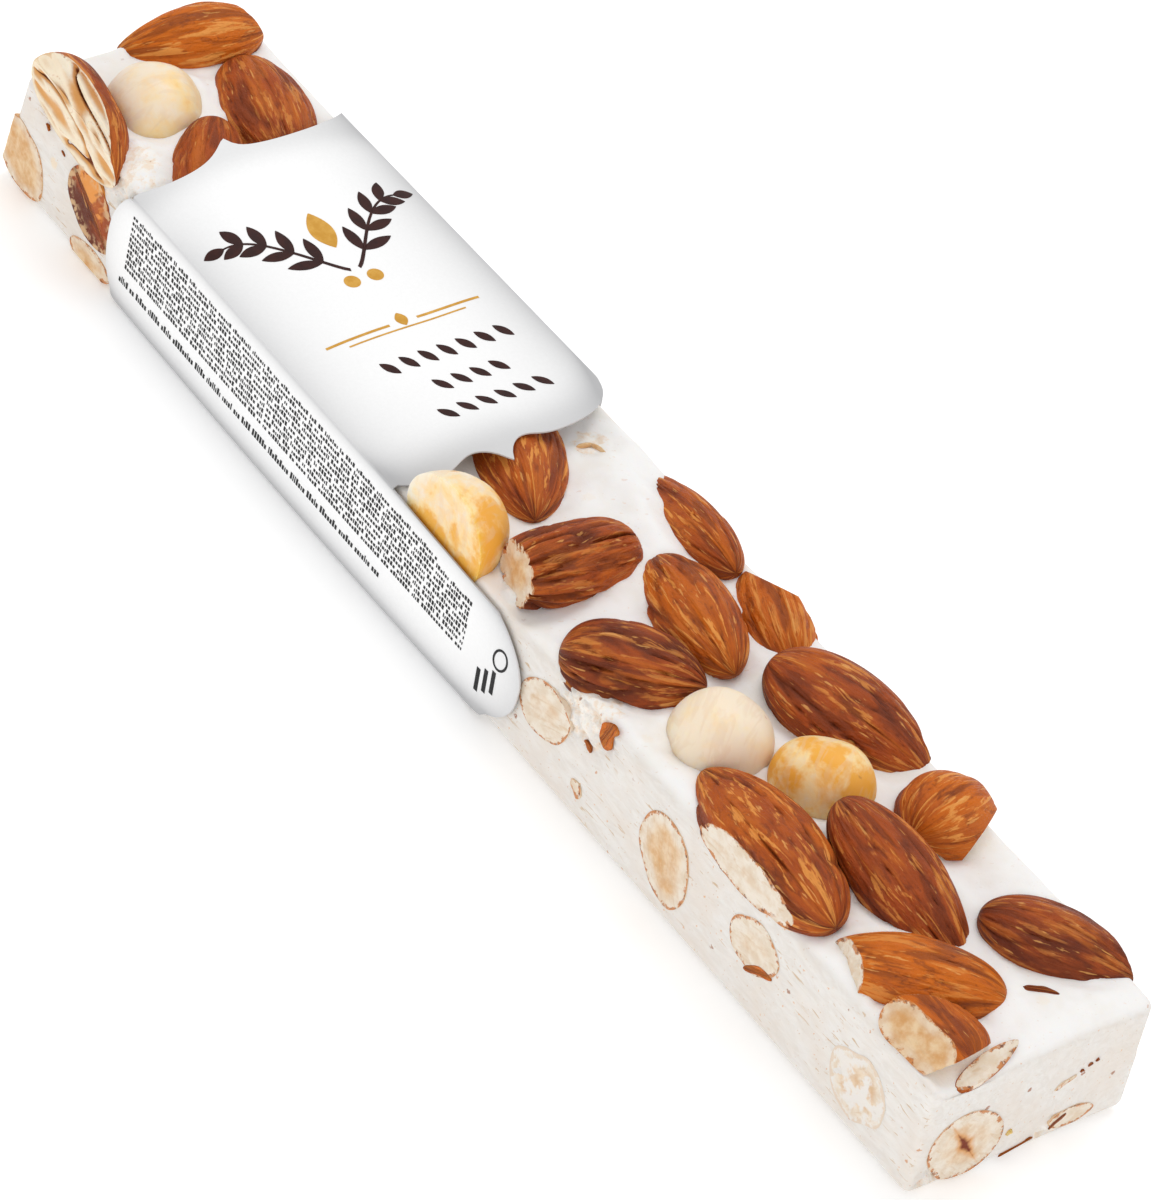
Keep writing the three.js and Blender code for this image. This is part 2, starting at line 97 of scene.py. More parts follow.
# Skinned hazelnuts: middle, size, turn, colour from pale to golden, how fast it turns golden along
# the nut, and strength of the golden clouds
HAZELNUTS = {
    "hazelnut_01": ((-1.2, -14.8, 0.6), (14, 14, 13), (22, 0, 0), 0.36, 0.085, 3),
    "hazelnut_02": ((38.1, -5.1, -0.6), (12, 11, 11.6), (39, 0, 0), -0.1, 0, 1.5),
    "hazelnut_03": ((48.6, 1, -0.2), (12, 9.8, 11), (37, 0, 0), 0.7, 0, 3),
    "hazelnut_04": ((-77.2, -4.2, -1.8), (12.8, 12, 12), (-9, 0, 0), 0.12, 0.04, 1.8),
}


def smooth(value, low, high):
    part = min(1.0, max(0.0, (value - low) / (high - low)))
    return part * part * (3 - 2 * part)


# Nougat at the foot of each nut: banked up behind it and drawn down along its near and front side,
# where its underside shows
def nut_lip(x, y):
    rise, dip = 0.0, 0.0
    for at, size, turn, *_ in list(ALMONDS.values()) + list(HAZELNUTS.values()):
        if hypot(x - at[0], y - at[1]) > 18:
            continue
        yaw = radians(turn[0])
        along = ((x - at[0]) * cos(yaw) + (y - at[1]) * sin(yaw)) / (size[0] / 2)
        across = ((y - at[1]) * cos(yaw) - (x - at[0]) * sin(yaw)) / (size[1] / 2)
        off = (hypot(along, across) - 1) * size[1] / 2
        uneven = noise.noise((x / 3.1, y / 3.1, at[0]))
        way = Vector((x - at[0], y - at[1])).normalized() if off > -2 else Vector((0, 0))
        facing = 0.7 * way.x - 0.7 * way.y
        rise = max(rise, (0.2 + 0.35 * uneven - 0.35 * facing) * exp(-(off / BANK) ** 2))
        dip = max(dip, smooth(facing + 0.8 * uneven, 0, 0.8) * exp(-(max(0, off) / DIP) ** 2))
    return max(0, rise) - DIP_DEEP * dip * smooth(NEAR - x, -1, 3)


# Patches where the nougat tore instead of being cut: place and reach
TORN = (((27, -15, 14.6), 6), ((-69, -13.5, 15.8), 5), ((-63, -12.5, 16), 3.5),
        ((90.5, -11, 1), 3.2), ((90.5, 4, 0.8), 2.5), ((-84, -14.5, 14.8), 3),
        ((-7, 9.3, 16.8), 2.8))
# Humps in the open top, and one that bulges out under the band: place, height, and reach squared
# along and across
HUMPS = ((70, 11.5, 1.3, 50, 14), (5, 8.4, 1.5, 60, 6))
BULGE = (-67.5, -11.8, 1.5, 12, 8)


def torn_part(x, y, z):
    return max(exp(-(hypot(x - at[0], y - at[1], z - at[2]) / reach) ** 4) for at, reach in TORN)


def hump(x, y, mid_x, mid_y, height, along, across):
    return height * exp(-((x - mid_x) ** 2) / along - ((y - mid_y) ** 2) / across)


# Height of the top over the flat block, from 0 under the band to the full waves in the open
def top_relief(x, y):
    open_top = 1 - smooth(x, -72, -60) * (1 - smooth(x, -12, -4))
    waves = SWELL * (sin(x / 7.3 + y / 5.1) + 0.7 * sin(x / 12.4 - y / 6.2 + 1.3))
    soft = 0.22 * noise.noise((x / 4.5, y / 4.5, 3)) + 0.1 * noise.noise((x / 1.6, y / 1.6, 8))
    humps = sum(hump(x, y, *each) for each in HUMPS)
    return (open_top * (waves + humps + soft + nut_lip(x, y)) - BAND_PRESS * (1 - open_top)
            + hump(x, y, *BULGE))


def pick_edges(piece, test):
    bpy.ops.mesh.select_mode(type="EDGE")
    bpy.ops.mesh.select_all(action="DESELECT")
    form = bmesh.from_edit_mesh(piece.data)
    for edge in form.edges:
        if test(edge.verts[1].co - edge.verts[0].co):
            edge.select_set(True)
    bmesh.update_edit_mesh(piece.data)


def add_values(piece, name, values):
    layer = piece.data.attributes.new(name, "FLOAT_VECTOR", "POINT")
    layer.data.foreach_set("vector", np.asarray(values, np.float32).ravel())


def points_of(piece):
    spots = np.empty(len(piece.data.vertices) * 3)
    piece.data.vertices.foreach_get("co", spots)
    return spots.reshape(-1, 3)


def move_points(piece, spots):
    piece.data.vertices.foreach_set("co", np.asarray(spots, np.float32).ravel())
    piece.data.update()


bpy.ops.object.select_all(action="DESELECT")
bpy.ops.mesh.primitive_cube_add(size=1, scale=(LENGTH, WIDTH, HEIGHT), location=(0, 0, HEIGHT / 2))
nougat = bpy.context.object
nougat.name = "nougat_block"
bpy.ops.object.transform_apply(location=True, rotation=True, scale=True)
bpy.ops.object.mode_set(mode="EDIT")
for axis, size in ((0, LENGTH), (1, WIDTH), (2, HEIGHT)):
    for cuts in ((89, round(size / CELL / 90) - 1) if axis == 0 else (round(size / CELL) - 1,)):
        pick_edges(nougat, lambda way: abs(way[axis]) > 0.9 * way.length)
        bpy.ops.mesh.subdivide(number_cuts=cuts)
bpy.ops.object.mode_set(mode="OBJECT")

# Each point is rounded to the edges, lifted by the waves, and dragged or torn where it is cut
shaped, faces_cut = [], []
for x, y, z in points_of(nougat):
    low = z < HEIGHT / 2
    reach = Vector((EDGE_END, EDGE_LOW if low else EDGE_TOP, EDGE_LOW if low else EDGE_TOP))
    inner = Vector((min(max(x, reach.x - NEAR), NEAR - reach.x),
                    min(max(y, reach.y - SIDE), SIDE - reach.y),
                    min(max(z, reach.z), HEIGHT - reach.z)))
    off = Vector(((x - inner.x) / reach.x, (y - inner.y) / reach.y, (z - inner.z) / reach.z))
    if off.length > 0:
        off.normalize()
    cut = 1 - smooth(off.z, 0.35, 0.95)
    torn = torn_part(x, y, z)
    x, y, z = (inner.x + off.x * reach.x, inner.y + off.y * reach.y, inner.z + off.z * reach.z)
    top = smooth(z, HEIGHT - 2.6, HEIGHT - 0.6)
    if top > 0:
        fade = smooth(SIDE - abs(y), -0.5, EDGE_TOP)
        z += top * fade * (top_relief(x, y) - NEAR_DROOP * smooth(x, NEAR - 5, NEAR) ** 2)
    drag = DRAG * abs(noise.noise((x / 6, y / 1.5, z / 1.5)))
    drag += DRAG_FINE * abs(noise.noise((x / 2, y / 2, z / 2)))
    if torn > 0.02:
        flake = abs(noise.noise((x / 1.5, y / 1.1, z / 1.1 + 3)) + 0.4 * noise.noise((x, y, z)))
        drag += torn * FLAKE * flake
        z -= torn * FLAKE_DOWN * flake * max(0, off.z)
    if cut > 0.5:
        y -= drag * off.y if abs(off.y) > 0.9 else 0
        x -= drag * off.x if abs(off.x) > 0.9 else 0
    x += FAR_SLANT * (z / HEIGHT) * (1 - smooth(x, -NEAR, -NEAR + 20))
    shaped.append((x * MM, y * MM, (z + LIFT) * MM))
    faces_cut.append((cut, torn, cut * abs(off.y)))
move_points(nougat, shaped)
add_values(nougat, "cut", faces_cut)
bpy.ops.object.shade_smooth()


# A node with its settings. Its inputs are values or the sockets that feed them, and it stands in
# the tree of those sockets where no other is given.
def put(kind, inputs=(), tree=None, **settings):
    feeds = {name: value for name, value in dict(inputs).items()
             if isinstance(value, bpy.types.NodeSocket)}
    tree = tree or next(iter(feeds.values())).id_data
    made = tree.nodes.new("ShaderNode" + kind)
    for name, value in settings.items():
        setattr(made, name, value)
    for name, value in dict(inputs).items():
        if name in feeds:
            tree.links.new(value, made.inputs[name])
        else:
            made.inputs[name].default_value = value
    return made


def mix(part, one, other):
    return put("Mix", {0: part, 6: one, 7: other}, data_type="RGBA").outputs[2]


def maths(operation, one, other=0.0, third=0.0):
    return put("Math", {0: one, 1: other, 2: third}, operation=operation).outputs[0]


# One times another, and a third added where there is one
def times(one, other, plus=None):
    if plus is None:
        return maths("MULTIPLY", one, other)
    return maths("MULTIPLY_ADD", one, other, plus)


# Shades laid over a colour in turn, each where its mask says and at most as strongly as given
def lay(colour, *shades):
    for mask, strength, shade in shades:
        colour = mix(times(mask, strength), colour, shade)
    return colour


def step(value, low, high):
    return put("MapRange", {"Value": value, "From Min": low, "From Max": high},
               interpolation_type="SMOOTHSTEP").outputs["Result"]


def noise_at(where, scale, detail=2.0, rough=0.5, stretch=(1, 1, 1), shift=(0, 0, 0), twist=0.0):
    moved = put("Mapping", {"Vector": where, "Scale": stretch, "Location": shift}).outputs[0]
    return put("TexNoise", {"Vector": moved, "Scale": scale, "Detail": detail, "Roughness": rough,
                            "Distortion": twist}).outputs[0]


def values(tree, name):
    return put("Attribute", tree=tree, attribute_name=name).outputs["Vector"]


def parts(vector):
    return put("SeparateXYZ", {0: vector}).outputs


def rgb(red, green, blue):
    return tuple((c / 255 / 12.92 if c < 10.3 else ((c / 255 + 0.055) / 1.055) ** 2.4)
                 for c in (red, green, blue)) + (1.0,)


def finish_named(name, **constants):
    made = bpy.data.materials.new(name)
    made.use_nodes = True
    shader = made.node_tree.nodes["Principled BSDF"]
    for socket, value in constants.items():
        shader.inputs[socket.replace("_", " ")].default_value = value
    return made, made.node_tree, shader


# Colour, and roughness spread between a low and a high value
def coat(shader, colour, gloss, low, high):
    rough = put("MapRange", {"Value": gloss, "To Min": low, "To Max": high}).outputs[0]
    for socket, value in (("Base Color", colour), ("Roughness", rough)):
        shader.id_data.links.new(value, shader.inputs[socket])


def emboss(shader, height, strength, distance):
    bump = put("Bump", {"Height": height, "Strength": strength, "Distance": distance}).outputs[0]
    shader.id_data.links.new(bump, shader.inputs["Normal"])


# Crumbs of skin and roasted nut scattered through a face: a mask with sizes of its own
crumbs = bpy.data.node_groups.new("crumbs", "ShaderNodeTree")
for name, kind, way in (("Place", "Vector", "INPUT"), ("Density", "Float", "INPUT"),
                        ("Size", "Float", "INPUT"), ("Mask", "Float", "OUTPUT")):
    crumbs.interface.new_socket(name, in_out=way, socket_type="NodeSocket" + kind)
gate, leave = crumbs.nodes.new("NodeGroupInput"), crumbs.nodes.new("NodeGroupOutput")
place, density, size, _ = gate.outputs
bent = put("VectorMath", {0: place, 1: noise_at(place, 2.2)}, operation="ADD").outputs[0]
cells = put("TexVoronoi", {"Vector": bent, "Scale": size, "Randomness": 1.0}).outputs
lot = put("SeparateColor", {0: cells["Color"]}).outputs[0]
crumb = times(maths("LESS_THAN", lot, density), step(cells["Distance"], 0.3, 0.16))
crumbs.links.new(crumb, leave.inputs["Mask"])


def crumbs_in(where, density, size, shift=(0, 0, 0)):
    moved = put("Mapping", {"Vector": where, "Location": shift}).outputs[0]
    return put("Group", {"Place": moved, "Density": density, "Size": size},
               node_tree=crumbs).outputs["Mask"]


def millimetres(tree):
    where = put("TexCoord", tree=tree).outputs["Object"]
    return put("Mapping", {"Vector": where, "Scale": (1000, 1000, 1000)}).outputs[0]


nougat_white, tree, shader = finish_named(
    "nougat_white", Subsurface_Weight=0.18, Subsurface_Radius=(1.0, 0.8, 0.6),
    Subsurface_Scale=0.0012, Specular_IOR_Level=0.3)
place = millimetres(tree)
cut_face, torn, long_side = parts(values(tree, "cut"))
warm = step(noise_at(place, 0.13, 3, 0.6), 0.42, 0.68)
pressed = mix(warm, rgb(247, 245, 243), rgb(241, 237, 231))
drag = noise_at(place, 1.0, 4, 0.65, stretch=(0.3, 0.9, 0.9), twist=0.8)
sliced = mix(step(drag, 0.35, 0.7), rgb(235, 231, 226), rgb(227, 221, 214))
sliced = lay(sliced, (warm, 0.5, rgb(229, 217, 205)))
thin_line = noise_at(place, 1.0, 4, 0.6, stretch=(0.32, 1.5, 1.5), twist=1.6, shift=(4, 9, 2))
# Short tan streaks in loose groups, where the knife has drawn crumbs along the cut
streak = noise_at(place, 1.0, 2, 0.5, stretch=(0.34, 2.2, 2.2), shift=(6, 1, 3), twist=0.6)
grouped = step(noise_at(place, 0.16, 2, 0.5, shift=(8, 2, 6)), 0.44, 0.56)
streak = times(times(step(streak, 0.63, 0.69), grouped), step(long_side, 0.6, 0.9))
# Torn patches: cream with toasted flakes
flakes = noise_at(place, 0.8, 4, 0.65, shift=(2, 5, 1))
cream = mix(step(flakes, 0.45, 0.62), rgb(252, 246, 238), rgb(242, 222, 200))
cream = mix(step(flakes, 0.66, 0.73), cream, rgb(196, 146, 104))
colour = lay(mix(cut_face, pressed, sliced),
             (step(thin_line, 0.66, 0.72), times(cut_face, 0.3), rgb(204, 172, 138)),
             (streak, 0.75, rgb(202, 170, 128)),
             (step(times(torn, flakes), 0.3, 0.5), 0.85, cream))
# Crumbs, from orange to dark and from coarse to fine: density, size, colour, shift and strength
more_cut = times(cut_face, 0.7, 0.3)
for density, size, shade, shift, strength in (
        (0.03, 1.1, rgb(206, 140, 84), (3, 1, 5), 0.75),
        (0.014, 0.8, rgb(160, 98, 60), (9, 4, 2), 0.8),
        (0.04, 1.7, rgb(226, 168, 104), (1, 8, 6), 0.7),
        (0.09, 2.6, rgb(208, 172, 136), (7, 7, 1), 0.6),
        (0.06, 0.32, rgb(247, 216, 164), (5, 2, 8), 0.4)):
    crumb = times(crumbs_in(place, density, size, shift), more_cut)
    colour = lay(colour, (crumb, strength, shade))
coat(shader, colour, noise_at(place, 0.8, 3), 0.5, 0.72)
grain = times(noise_at(place, 3.5, 4, 0.6), 0.35, times(drag, cut_face))
emboss(shader, grain, 0.35, 0.0003)

nougat.data.materials.append(nougat_white)
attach(nougat, "root")
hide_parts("nougat")

# ---- Almonds on the top ----
# Roasted almonds in their papery brown skins, whole or broken, pushed into the warm nougat. The
# skin is finely wrinkled along the nut with golden scratches, and where the knife or the roasting
# has split a nut its pale flesh shows inside a thin brown rim.
SKIN_EDGE = 0.3        # width of the skin that rims a cut, in millimetres


def almond_outline(t, blunt=2.2):
    return (max(0, 1 - abs(t) ** blunt) ** 0.47 if t < 0
            else max(0, 1 - t * t) ** 0.62 * (1 - 0.06 * t))


def stub_outline(t):
    return max(0, 1 - abs(t) ** 4) ** 0.45


def round_outline(t):
    return sqrt(max(0, 1 - t * t)) * (1 + 0.05 * max(0, t))


def nut_place(at, turn):
    yaw, pitch, roll = (radians(angle) for angle in turn)
    turned = (Matrix.Rotation(yaw, 3, "Z") @ Matrix.Rotation(-pitch, 3, "Y")
              @ Matrix.Rotation(roll, 3, "X"))
    return Matrix.Translation((at[0], at[1], HEIGHT + at[2])) @ turned.to_4x4()


# A nut at the origin with its tip along +X, wrinkled along its length
def nut_form(name, size, outline, seed, stuff, wrinkle=0.0, lumps=0.02, around=96, rings=64,
             keel=0.03):
    bpy.ops.object.select_all(action="DESELECT")
    bpy.ops.mesh.primitive_uv_sphere_add(segments=around, ring_count=rings, radius=1)
    piece = bpy.context.object
    piece.name = piece.data.name = name
    grown, grooves = [], []
    for across, upward, t in points_of(piece):
        ring = hypot(across, upward)
        c, s = (across / ring, upward / ring) if ring > 1e-6 else (1.0, 0.0)
        wide = outline(t) * (1 + keel * abs(c) ** 6)
        wide *= 1 + lumps * 2.4 * noise.noise((t * 1.3 + seed, c * 1.2, s * 1.2))
        groove = 0
        if wrinkle > 0:
            line = abs(noise.noise((t * 0.7 + seed * 3, c * 2.6, s * 2.6)))
            fine = abs(noise.noise((t * 1.5 - seed, c * 5.5, s * 5.5)))
            groove = max(0, 1 - line / 0.2) ** 2 * 0.4 + max(0, 1 - fine / 0.2) * 0.13
            wide -= wrinkle * groove * (1 - abs(t) ** 6) / size[1] * 2
        grooves.append((groove * wrinkle, 0, 0))
        grown.append((t * size[0] / 2, c * wide * size[1] / 2, s * wide * size[2] / 2))
    move_points(piece, grown)
    add_values(piece, "groove", grooves)
    for material in stuff:
        piece.data.materials.append(material)
    return piece


# A flat cut through a nut, filled with flesh in shrinking rings so that it can be given relief
def cut_nut(piece, point, out, rings):
    bpy.ops.mesh.select_all(action="SELECT")
    bpy.ops.mesh.bisect(plane_co=point, plane_no=out, use_fill=True, clear_outer=True)
    if not piece.data.total_face_sel:
        return False
    form = bmesh.from_edit_mesh(piece.data)
    middle = next(face for face in form.faces if face.select).calc_center_median()
    size = 1.0
    for ring in range(rings):
        smaller = 1 - ((ring + 1) / (rings + 0.5)) ** 1.2 * 0.97
        bpy.ops.mesh.extrude_region()
        bpy.ops.transform.resize(value=(smaller / size,) * 3, center_override=middle)
        size = smaller
    return True


# Outer faces of the bar, standing a hair proud of the nougat so that the cut nuts show
PROUD = 0.06
FLAT_RELIEF = 0.03     # unevenness of the flesh in a face of the bar
FOLDED = 0.2           # relief above which the flesh is broken into folds
# The way away from the light: points of a nut that face this way get painted shade on its
# undersides
SHADED = (-0.42, -0.42, -0.8)     # the way that the undersides of the nuts face
slant = Vector((-HEIGHT, 0, FAR_SLANT)).normalized()
BAR_FACES = (
    (Vector((0, -SIDE - PROUD, 0)), Vector((0, -1, 0))),
    (Vector((0, SIDE + PROUD, 0)), Vector((0, 1, 0))),
    (Vector((NEAR + PROUD, 0, 0)), Vector((1, 0, 0))),
    (Vector((-NEAR, 0, 0)) + PROUD * slant, slant),
    (Vector((0, 0, -PROUD)), Vector((0, 0, -1))))


# Cuts a nut at each plane that meets it, and returns those planes
def slice_nut(piece, cuts, rings):
    bpy.ops.object.mode_set(mode="EDIT")
    bpy.ops.mesh.select_mode(type="FACE")
    made = []
    for point, out, relief in cuts:
        spots = np.array([vert.co for vert in bmesh.from_edit_mesh(piece.data).verts])
        meets = ((spots - np.array(point)) @ np.array(out)).max() >= 0.02
        if meets and cut_nut(piece, point, out, rings):
            made.append((np.array(point), np.array(out), relief))
    bpy.ops.mesh.select_all(action="SELECT")
    bpy.ops.mesh.normals_make_consistent(inside=False)
    bpy.ops.object.mode_set(mode="OBJECT")
    return made


# How far flesh lies under its cut: long cracks where it is broken, faint waves elsewhere
def flesh_depth(where, seed, folded):
    if folded:
        where = Vector((where.x * 0.07 + seed, where.y * 0.3, where.z * 0.3))
        crack = max(0, 1 - abs(noise.noise(where)) / 0.13)
        return 1.5 * crack * crack + 1.3 * abs(noise.noise(where * 2.3))
    where = Vector((where.x * 0.22 + seed, where.y * 0.7, where.z * 0.7))
    return 1.6 * abs(noise.noise(where)) + 0.5 * noise.noise(where * 2.7)


# Sinks the flesh of each cut; gives every point its distance from the skin's rim, 9 where no rim
# is, and the depth of its fold
def carve_flesh(piece, spots, made, own_frame, seed, flesh_slot):
    edge, depth = np.full(len(spots), 9.0), np.zeros(len(spots))
    flats = [np.nonzero(np.abs((spots - point) @ out) < 2e-3)[0] for point, out, _ in made]
    planes, skin_points = [set(flat.tolist()) for flat in flats], set()
    for face in piece.data.polygons:
        if any(plane.issuperset(face.vertices) for plane in planes):
            face.material_index = flesh_slot
        else:
            skin_points |= set(face.vertices)
    for (_, out, relief), flat, plane in zip(made, flats, planes):
        rim = sorted(plane & skin_points)
        if not rim:
            continue
        apart = np.linalg.norm(spots[flat][:, None] - spots[rim][None], axis=2).min(axis=1)
        own = [own_frame @ Vector(spot) for spot in spots[flat]]
        folded = relief > FOLDED
        rimless = folded * np.array([where.y < 0.5 for where in own])
        edge[flat] = np.minimum(edge[flat], apart + 9 * rimless)
        for index, far, where in zip(flat, apart, own):
            sink = flesh_depth(where, seed, folded)
            if folded:
                depth[index] = min(1, far / 0.5) * sink
            spots[index] -= out * relief * min(1, far / 0.5) * sink
    return edge, depth


# Places and cuts a nut, and stores what its finish reads. Its look is skin tone, golden scratches
# and wrinkles, then colour of the flesh, size of a dark hollow in it, and 1 if it has no rim; a
# hazelnut's is colour, how it turns golden along the nut, and strength of its clouds.
def dress_nut(piece, placed, size, seed, cuts, look, relief=0.12, rings=9, flesh_slot=1, proud=0):
    cuts = [(point, out, relief) for point, out in cuts]
    cuts += [(point + out * proud, out, max(proud, FLAT_RELIEF)) for point, out in BAR_FACES]
    piece.data.transform(placed)
    made = slice_nut(piece, cuts, rings)
    spots, own_frame = points_of(piece), placed.inverted()
    edge, depth = carve_flesh(piece, spots, made, own_frame, seed, flesh_slot)
    back = np.array(own_frame)
    local = spots @ back[:3, :3].T + back[:3, 3]
    # How far each point faces away from the light, kept as the third value of the edge attribute:
    # the weight of the painted shade on the undersides
    facing = (local / (np.array(size) / 2) ** 2) @ back[:3, :3]
    facing /= np.maximum(np.linalg.norm(facing, axis=1, keepdims=True), 1e-9)
    low = np.clip((facing @ np.array(SHADED) - 0.1) / 0.6, 0, 1)
    across, upward = local[:, 1] / size[1], local[:, 2] / size[2]
    ring = np.maximum(np.hypot(across, upward), 1e-6)
    spots[:, 2] += LIFT
    move_points(piece, spots * MM)
    add_values(piece, "grain", np.stack([local[:, 0] + 40 * seed, 5 * across / ring,
                                         5 * upward / ring], axis=1))
    add_values(piece, "flesh", local + np.array([0, 0, 20 * seed]))
    add_values(piece, "edge", np.stack([edge, depth, low], axis=1))
    add_values(piece, "look", np.tile(look[:3], (len(spots), 1)))
    tan, hollow, bare = (*look[3:], 0, 0)[:3]
    add_values(piece, "pith", np.tile((tan, hollow, bare), (len(spots), 1)))
    bpy.ops.object.shade_smooth_by_angle(angle=radians(48))


almond_skin, tree, shader = finish_named("almond_skin", Specular_IOR_Level=0.22)
grain = values(tree, "grain")
look, edge = parts(values(tree, "look")), parts(values(tree, "edge"))
broad = noise_at(grain, 0.35, 3, 0.6, stretch=(0.5, 1, 1))
tone = maths("ADD", look[0], times(broad, 1.3, -0.6))
# Painted shade: the skin is darker where it faces away from the light, on the undersides
tone = maths("SUBTRACT", tone, times(edge[2], 0.55))      # darker undersides
brown = mix(step(tone, 0.0, 0.6), rgb(104, 42, 17), rgb(166, 74, 24))
brown = mix(step(tone, 0.5, 1.2), brown, rgb(208, 105, 14))
ridge = noise_at(grain, 1.0, 3, 0.55, stretch=(0.1, 0.48, 0.48), twist=0.5)
# Darker in the wrinkle grooves: partly the skin's own darker furrows, partly painted shade
furrow_dark_and_shade = step(parts(values(tree, "groove"))[0], 0.04, 0.45)
mottle = noise_at(grain, 1.0, 4, 0.65, stretch=(0.4, 0.8, 0.8), shift=(7, 3, 5), twist=0.4)
scratch = noise_at(grain, 1.0, 4, 0.6, stretch=(0.2, 1.1, 1.1), shift=(3, 8, 1), twist=0.5)
golden = times(step(scratch, 0.54, 0.6), step(ridge, 0.4, 0.52))
fleck = noise_at(grain, 1.0, 3, 0.5, stretch=(0.35, 1.9, 1.9), shift=(1, 2, 9))
frayed = times(step(edge[0], 2.0, 0.5), step(noise_at(values(tree, "flesh"), 1.1, 3), 0.44, 0.58))
colour = lay(brown,
             (step(ridge, 0.47, 0.37), 0.5, rgb(92, 38, 18)),
             (step(ridge, 0.52, 0.62), 0.45, rgb(206, 112, 38)),
             (furrow_dark_and_shade, 0.6, rgb(84, 34, 14)),
             (step(mottle, 0.46, 0.34), 0.45, rgb(98, 42, 22)),
             (golden, look[1], rgb(230, 150, 70)),
             (step(fleck, 0.64, 0.7), 0.6, rgb(236, 172, 96)),
             (frayed, 0.8, rgb(222, 184, 138)))
coat(shader, colour, broad, 0.4, 0.62)
height = maths("ADD", mottle, times(ridge, 2.4, times(scratch, 0.7)))
height = times(noise_at(grain, 4.0, 3, stretch=(0.6, 1, 1)), 0.25, height)
emboss(shader, height, 0.8, 0.0005)

nut_flesh, tree, shader = finish_named(
    "nut_flesh", Subsurface_Weight=0.1, Subsurface_Radius=(1.0, 0.7, 0.4), Subsurface_Scale=0.0008,
    Specular_IOR_Level=0.2)
flesh, edge = values(tree, "flesh"), parts(values(tree, "edge"))
tan, hollow, bare = parts(values(tree, "pith"))
cloudy = noise_at(flesh, 0.55, 4, 0.6)
pale = mix(step(cloudy, 0.35, 0.65), rgb(236, 225, 210), rgb(225, 207, 184))
tanned = mix(step(cloudy, 0.3, 0.72), rgb(233, 204, 164), rgb(212, 158, 100))
heart = times(step(edge[0], 0.5, 2.4), 0.4, maths("SUBTRACT", tan, 0.16))
tan_part = step(times(noise_at(flesh, 0.35, 2), 0.6, heart), 0.5, 1.1)
fibre = noise_at(flesh, 1.0, 3, 0.6, stretch=(0.35, 1.4, 1.4), twist=0.8)
# Rim of skin round the flesh, ragged and with gaps; a bare nut fades into the nougat instead
ragged = times(noise_at(flesh, 0.8, 4, 0.7), 2.6, -1.28)
from_rim = maths("SUBTRACT", edge[0], ragged)
rim = times(step(from_rim, SKIN_EDGE, SKIN_EDGE - 0.2), maths("SUBTRACT", 1, bare))
faded = maths("MAXIMUM", step(edge[0], 1.0, 0.1), step(noise_at(flesh, 0.45, 3, 0.6), 0.58, 0.46))
bark = step(noise_at(flesh, 1.7, 3, 0.7), 0.36, 0.5)
gaps = step(noise_at(flesh, 1.1, 2, 0.5, shift=(4, 7, 2)), 0.36, 0.46)
colour = lay(mix(tan_part, pale, tanned),
             (step(fibre, 0.54, 0.68), 0.45, rgb(212, 180, 140)),
             (faded, bare, rgb(234, 228, 221)),
             (times(step(from_rim, 0.5, 0.2), bare), 0.5, rgb(220, 186, 146)),
             (rim, times(gaps, 0.6, 0.3), mix(bark, rgb(110, 50, 16), rgb(200, 126, 66))))
# Folds of broken flesh: a painted highlight of cream on the ridges, and painted shade in the
# cracks, golden and then brown with their depth
ridge_highlight = times(step(edge[1], 0.005, 0.04), step(edge[1], 0.5, 0.15))
colour = lay(colour,
             (ridge_highlight, 0.75, rgb(250, 238, 214)),
             (step(edge[1], 0.4, 0.75), 0.85, rgb(222, 158, 84)),
             (step(edge[1], 0.85, 1.25), 1, rgb(112, 50, 14)))
# The hollow in the heart of a hazelnut, painted on the flat cut: a small dark star with a toasted
# rim, its brown partly the hollow's own and partly painted shade for its depth
side = parts(put("Mapping", {"Vector": flesh, "Rotation": (0, 0, radians(14))}).outputs[0])
arms = [maths("POWER", maths("ABSOLUTE", times(side[i], reach)), 0.75)
        for i, reach in ((0, 0.4), (1, 1.5))]
star = times(noise_at(flesh, 0.9, 2), -1.1, maths("ADD", maths("ADD", *arms), 0.6))
star = maths("DIVIDE", star, maths("MAXIMUM", hollow, 0.01))
has_hollow = step(hollow, 0.05, 0.2)
colour = lay(colour,
             (step(star, 1.6, 0.8), has_hollow, rgb(218, 158, 98)),
             (step(star, 1.05, 0.45), has_hollow, rgb(118, 40, 0)))
coat(shader, colour, cloudy, 0.42, 0.65)
emboss(shader, times(cloudy, 0.6, times(fibre, 0.6)), 0.5, 0.0003)

BROKEN = "almond_half_04"        # split open by hand, its flesh all in folds
for seed, (name, (at, size, turn, cuts, look)) in enumerate(ALMONDS.items(), 1):
    outline = stub_outline if name in STUBS else lambda t: almond_outline(t, BLUNT.get(name, 2.2))
    nut = nut_form(name + "_nut", size, outline, seed, (almond_skin, nut_flesh), look[2])
    placed = nut_place(at, turn)
    ways = [(Vector(along).normalized(), off) for along, off in cuts]
    planes = [(placed @ (way * off), placed.to_3x3() @ way) for way, off in ways]
    relief, rings, proud = (0.8, 30, 0.35) if name == BROKEN else (0.16, 12, 0)
    dress_nut(nut, placed, size, seed, planes, look, relief, rings, proud=proud)
    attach(nut, "root")
    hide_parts(name)

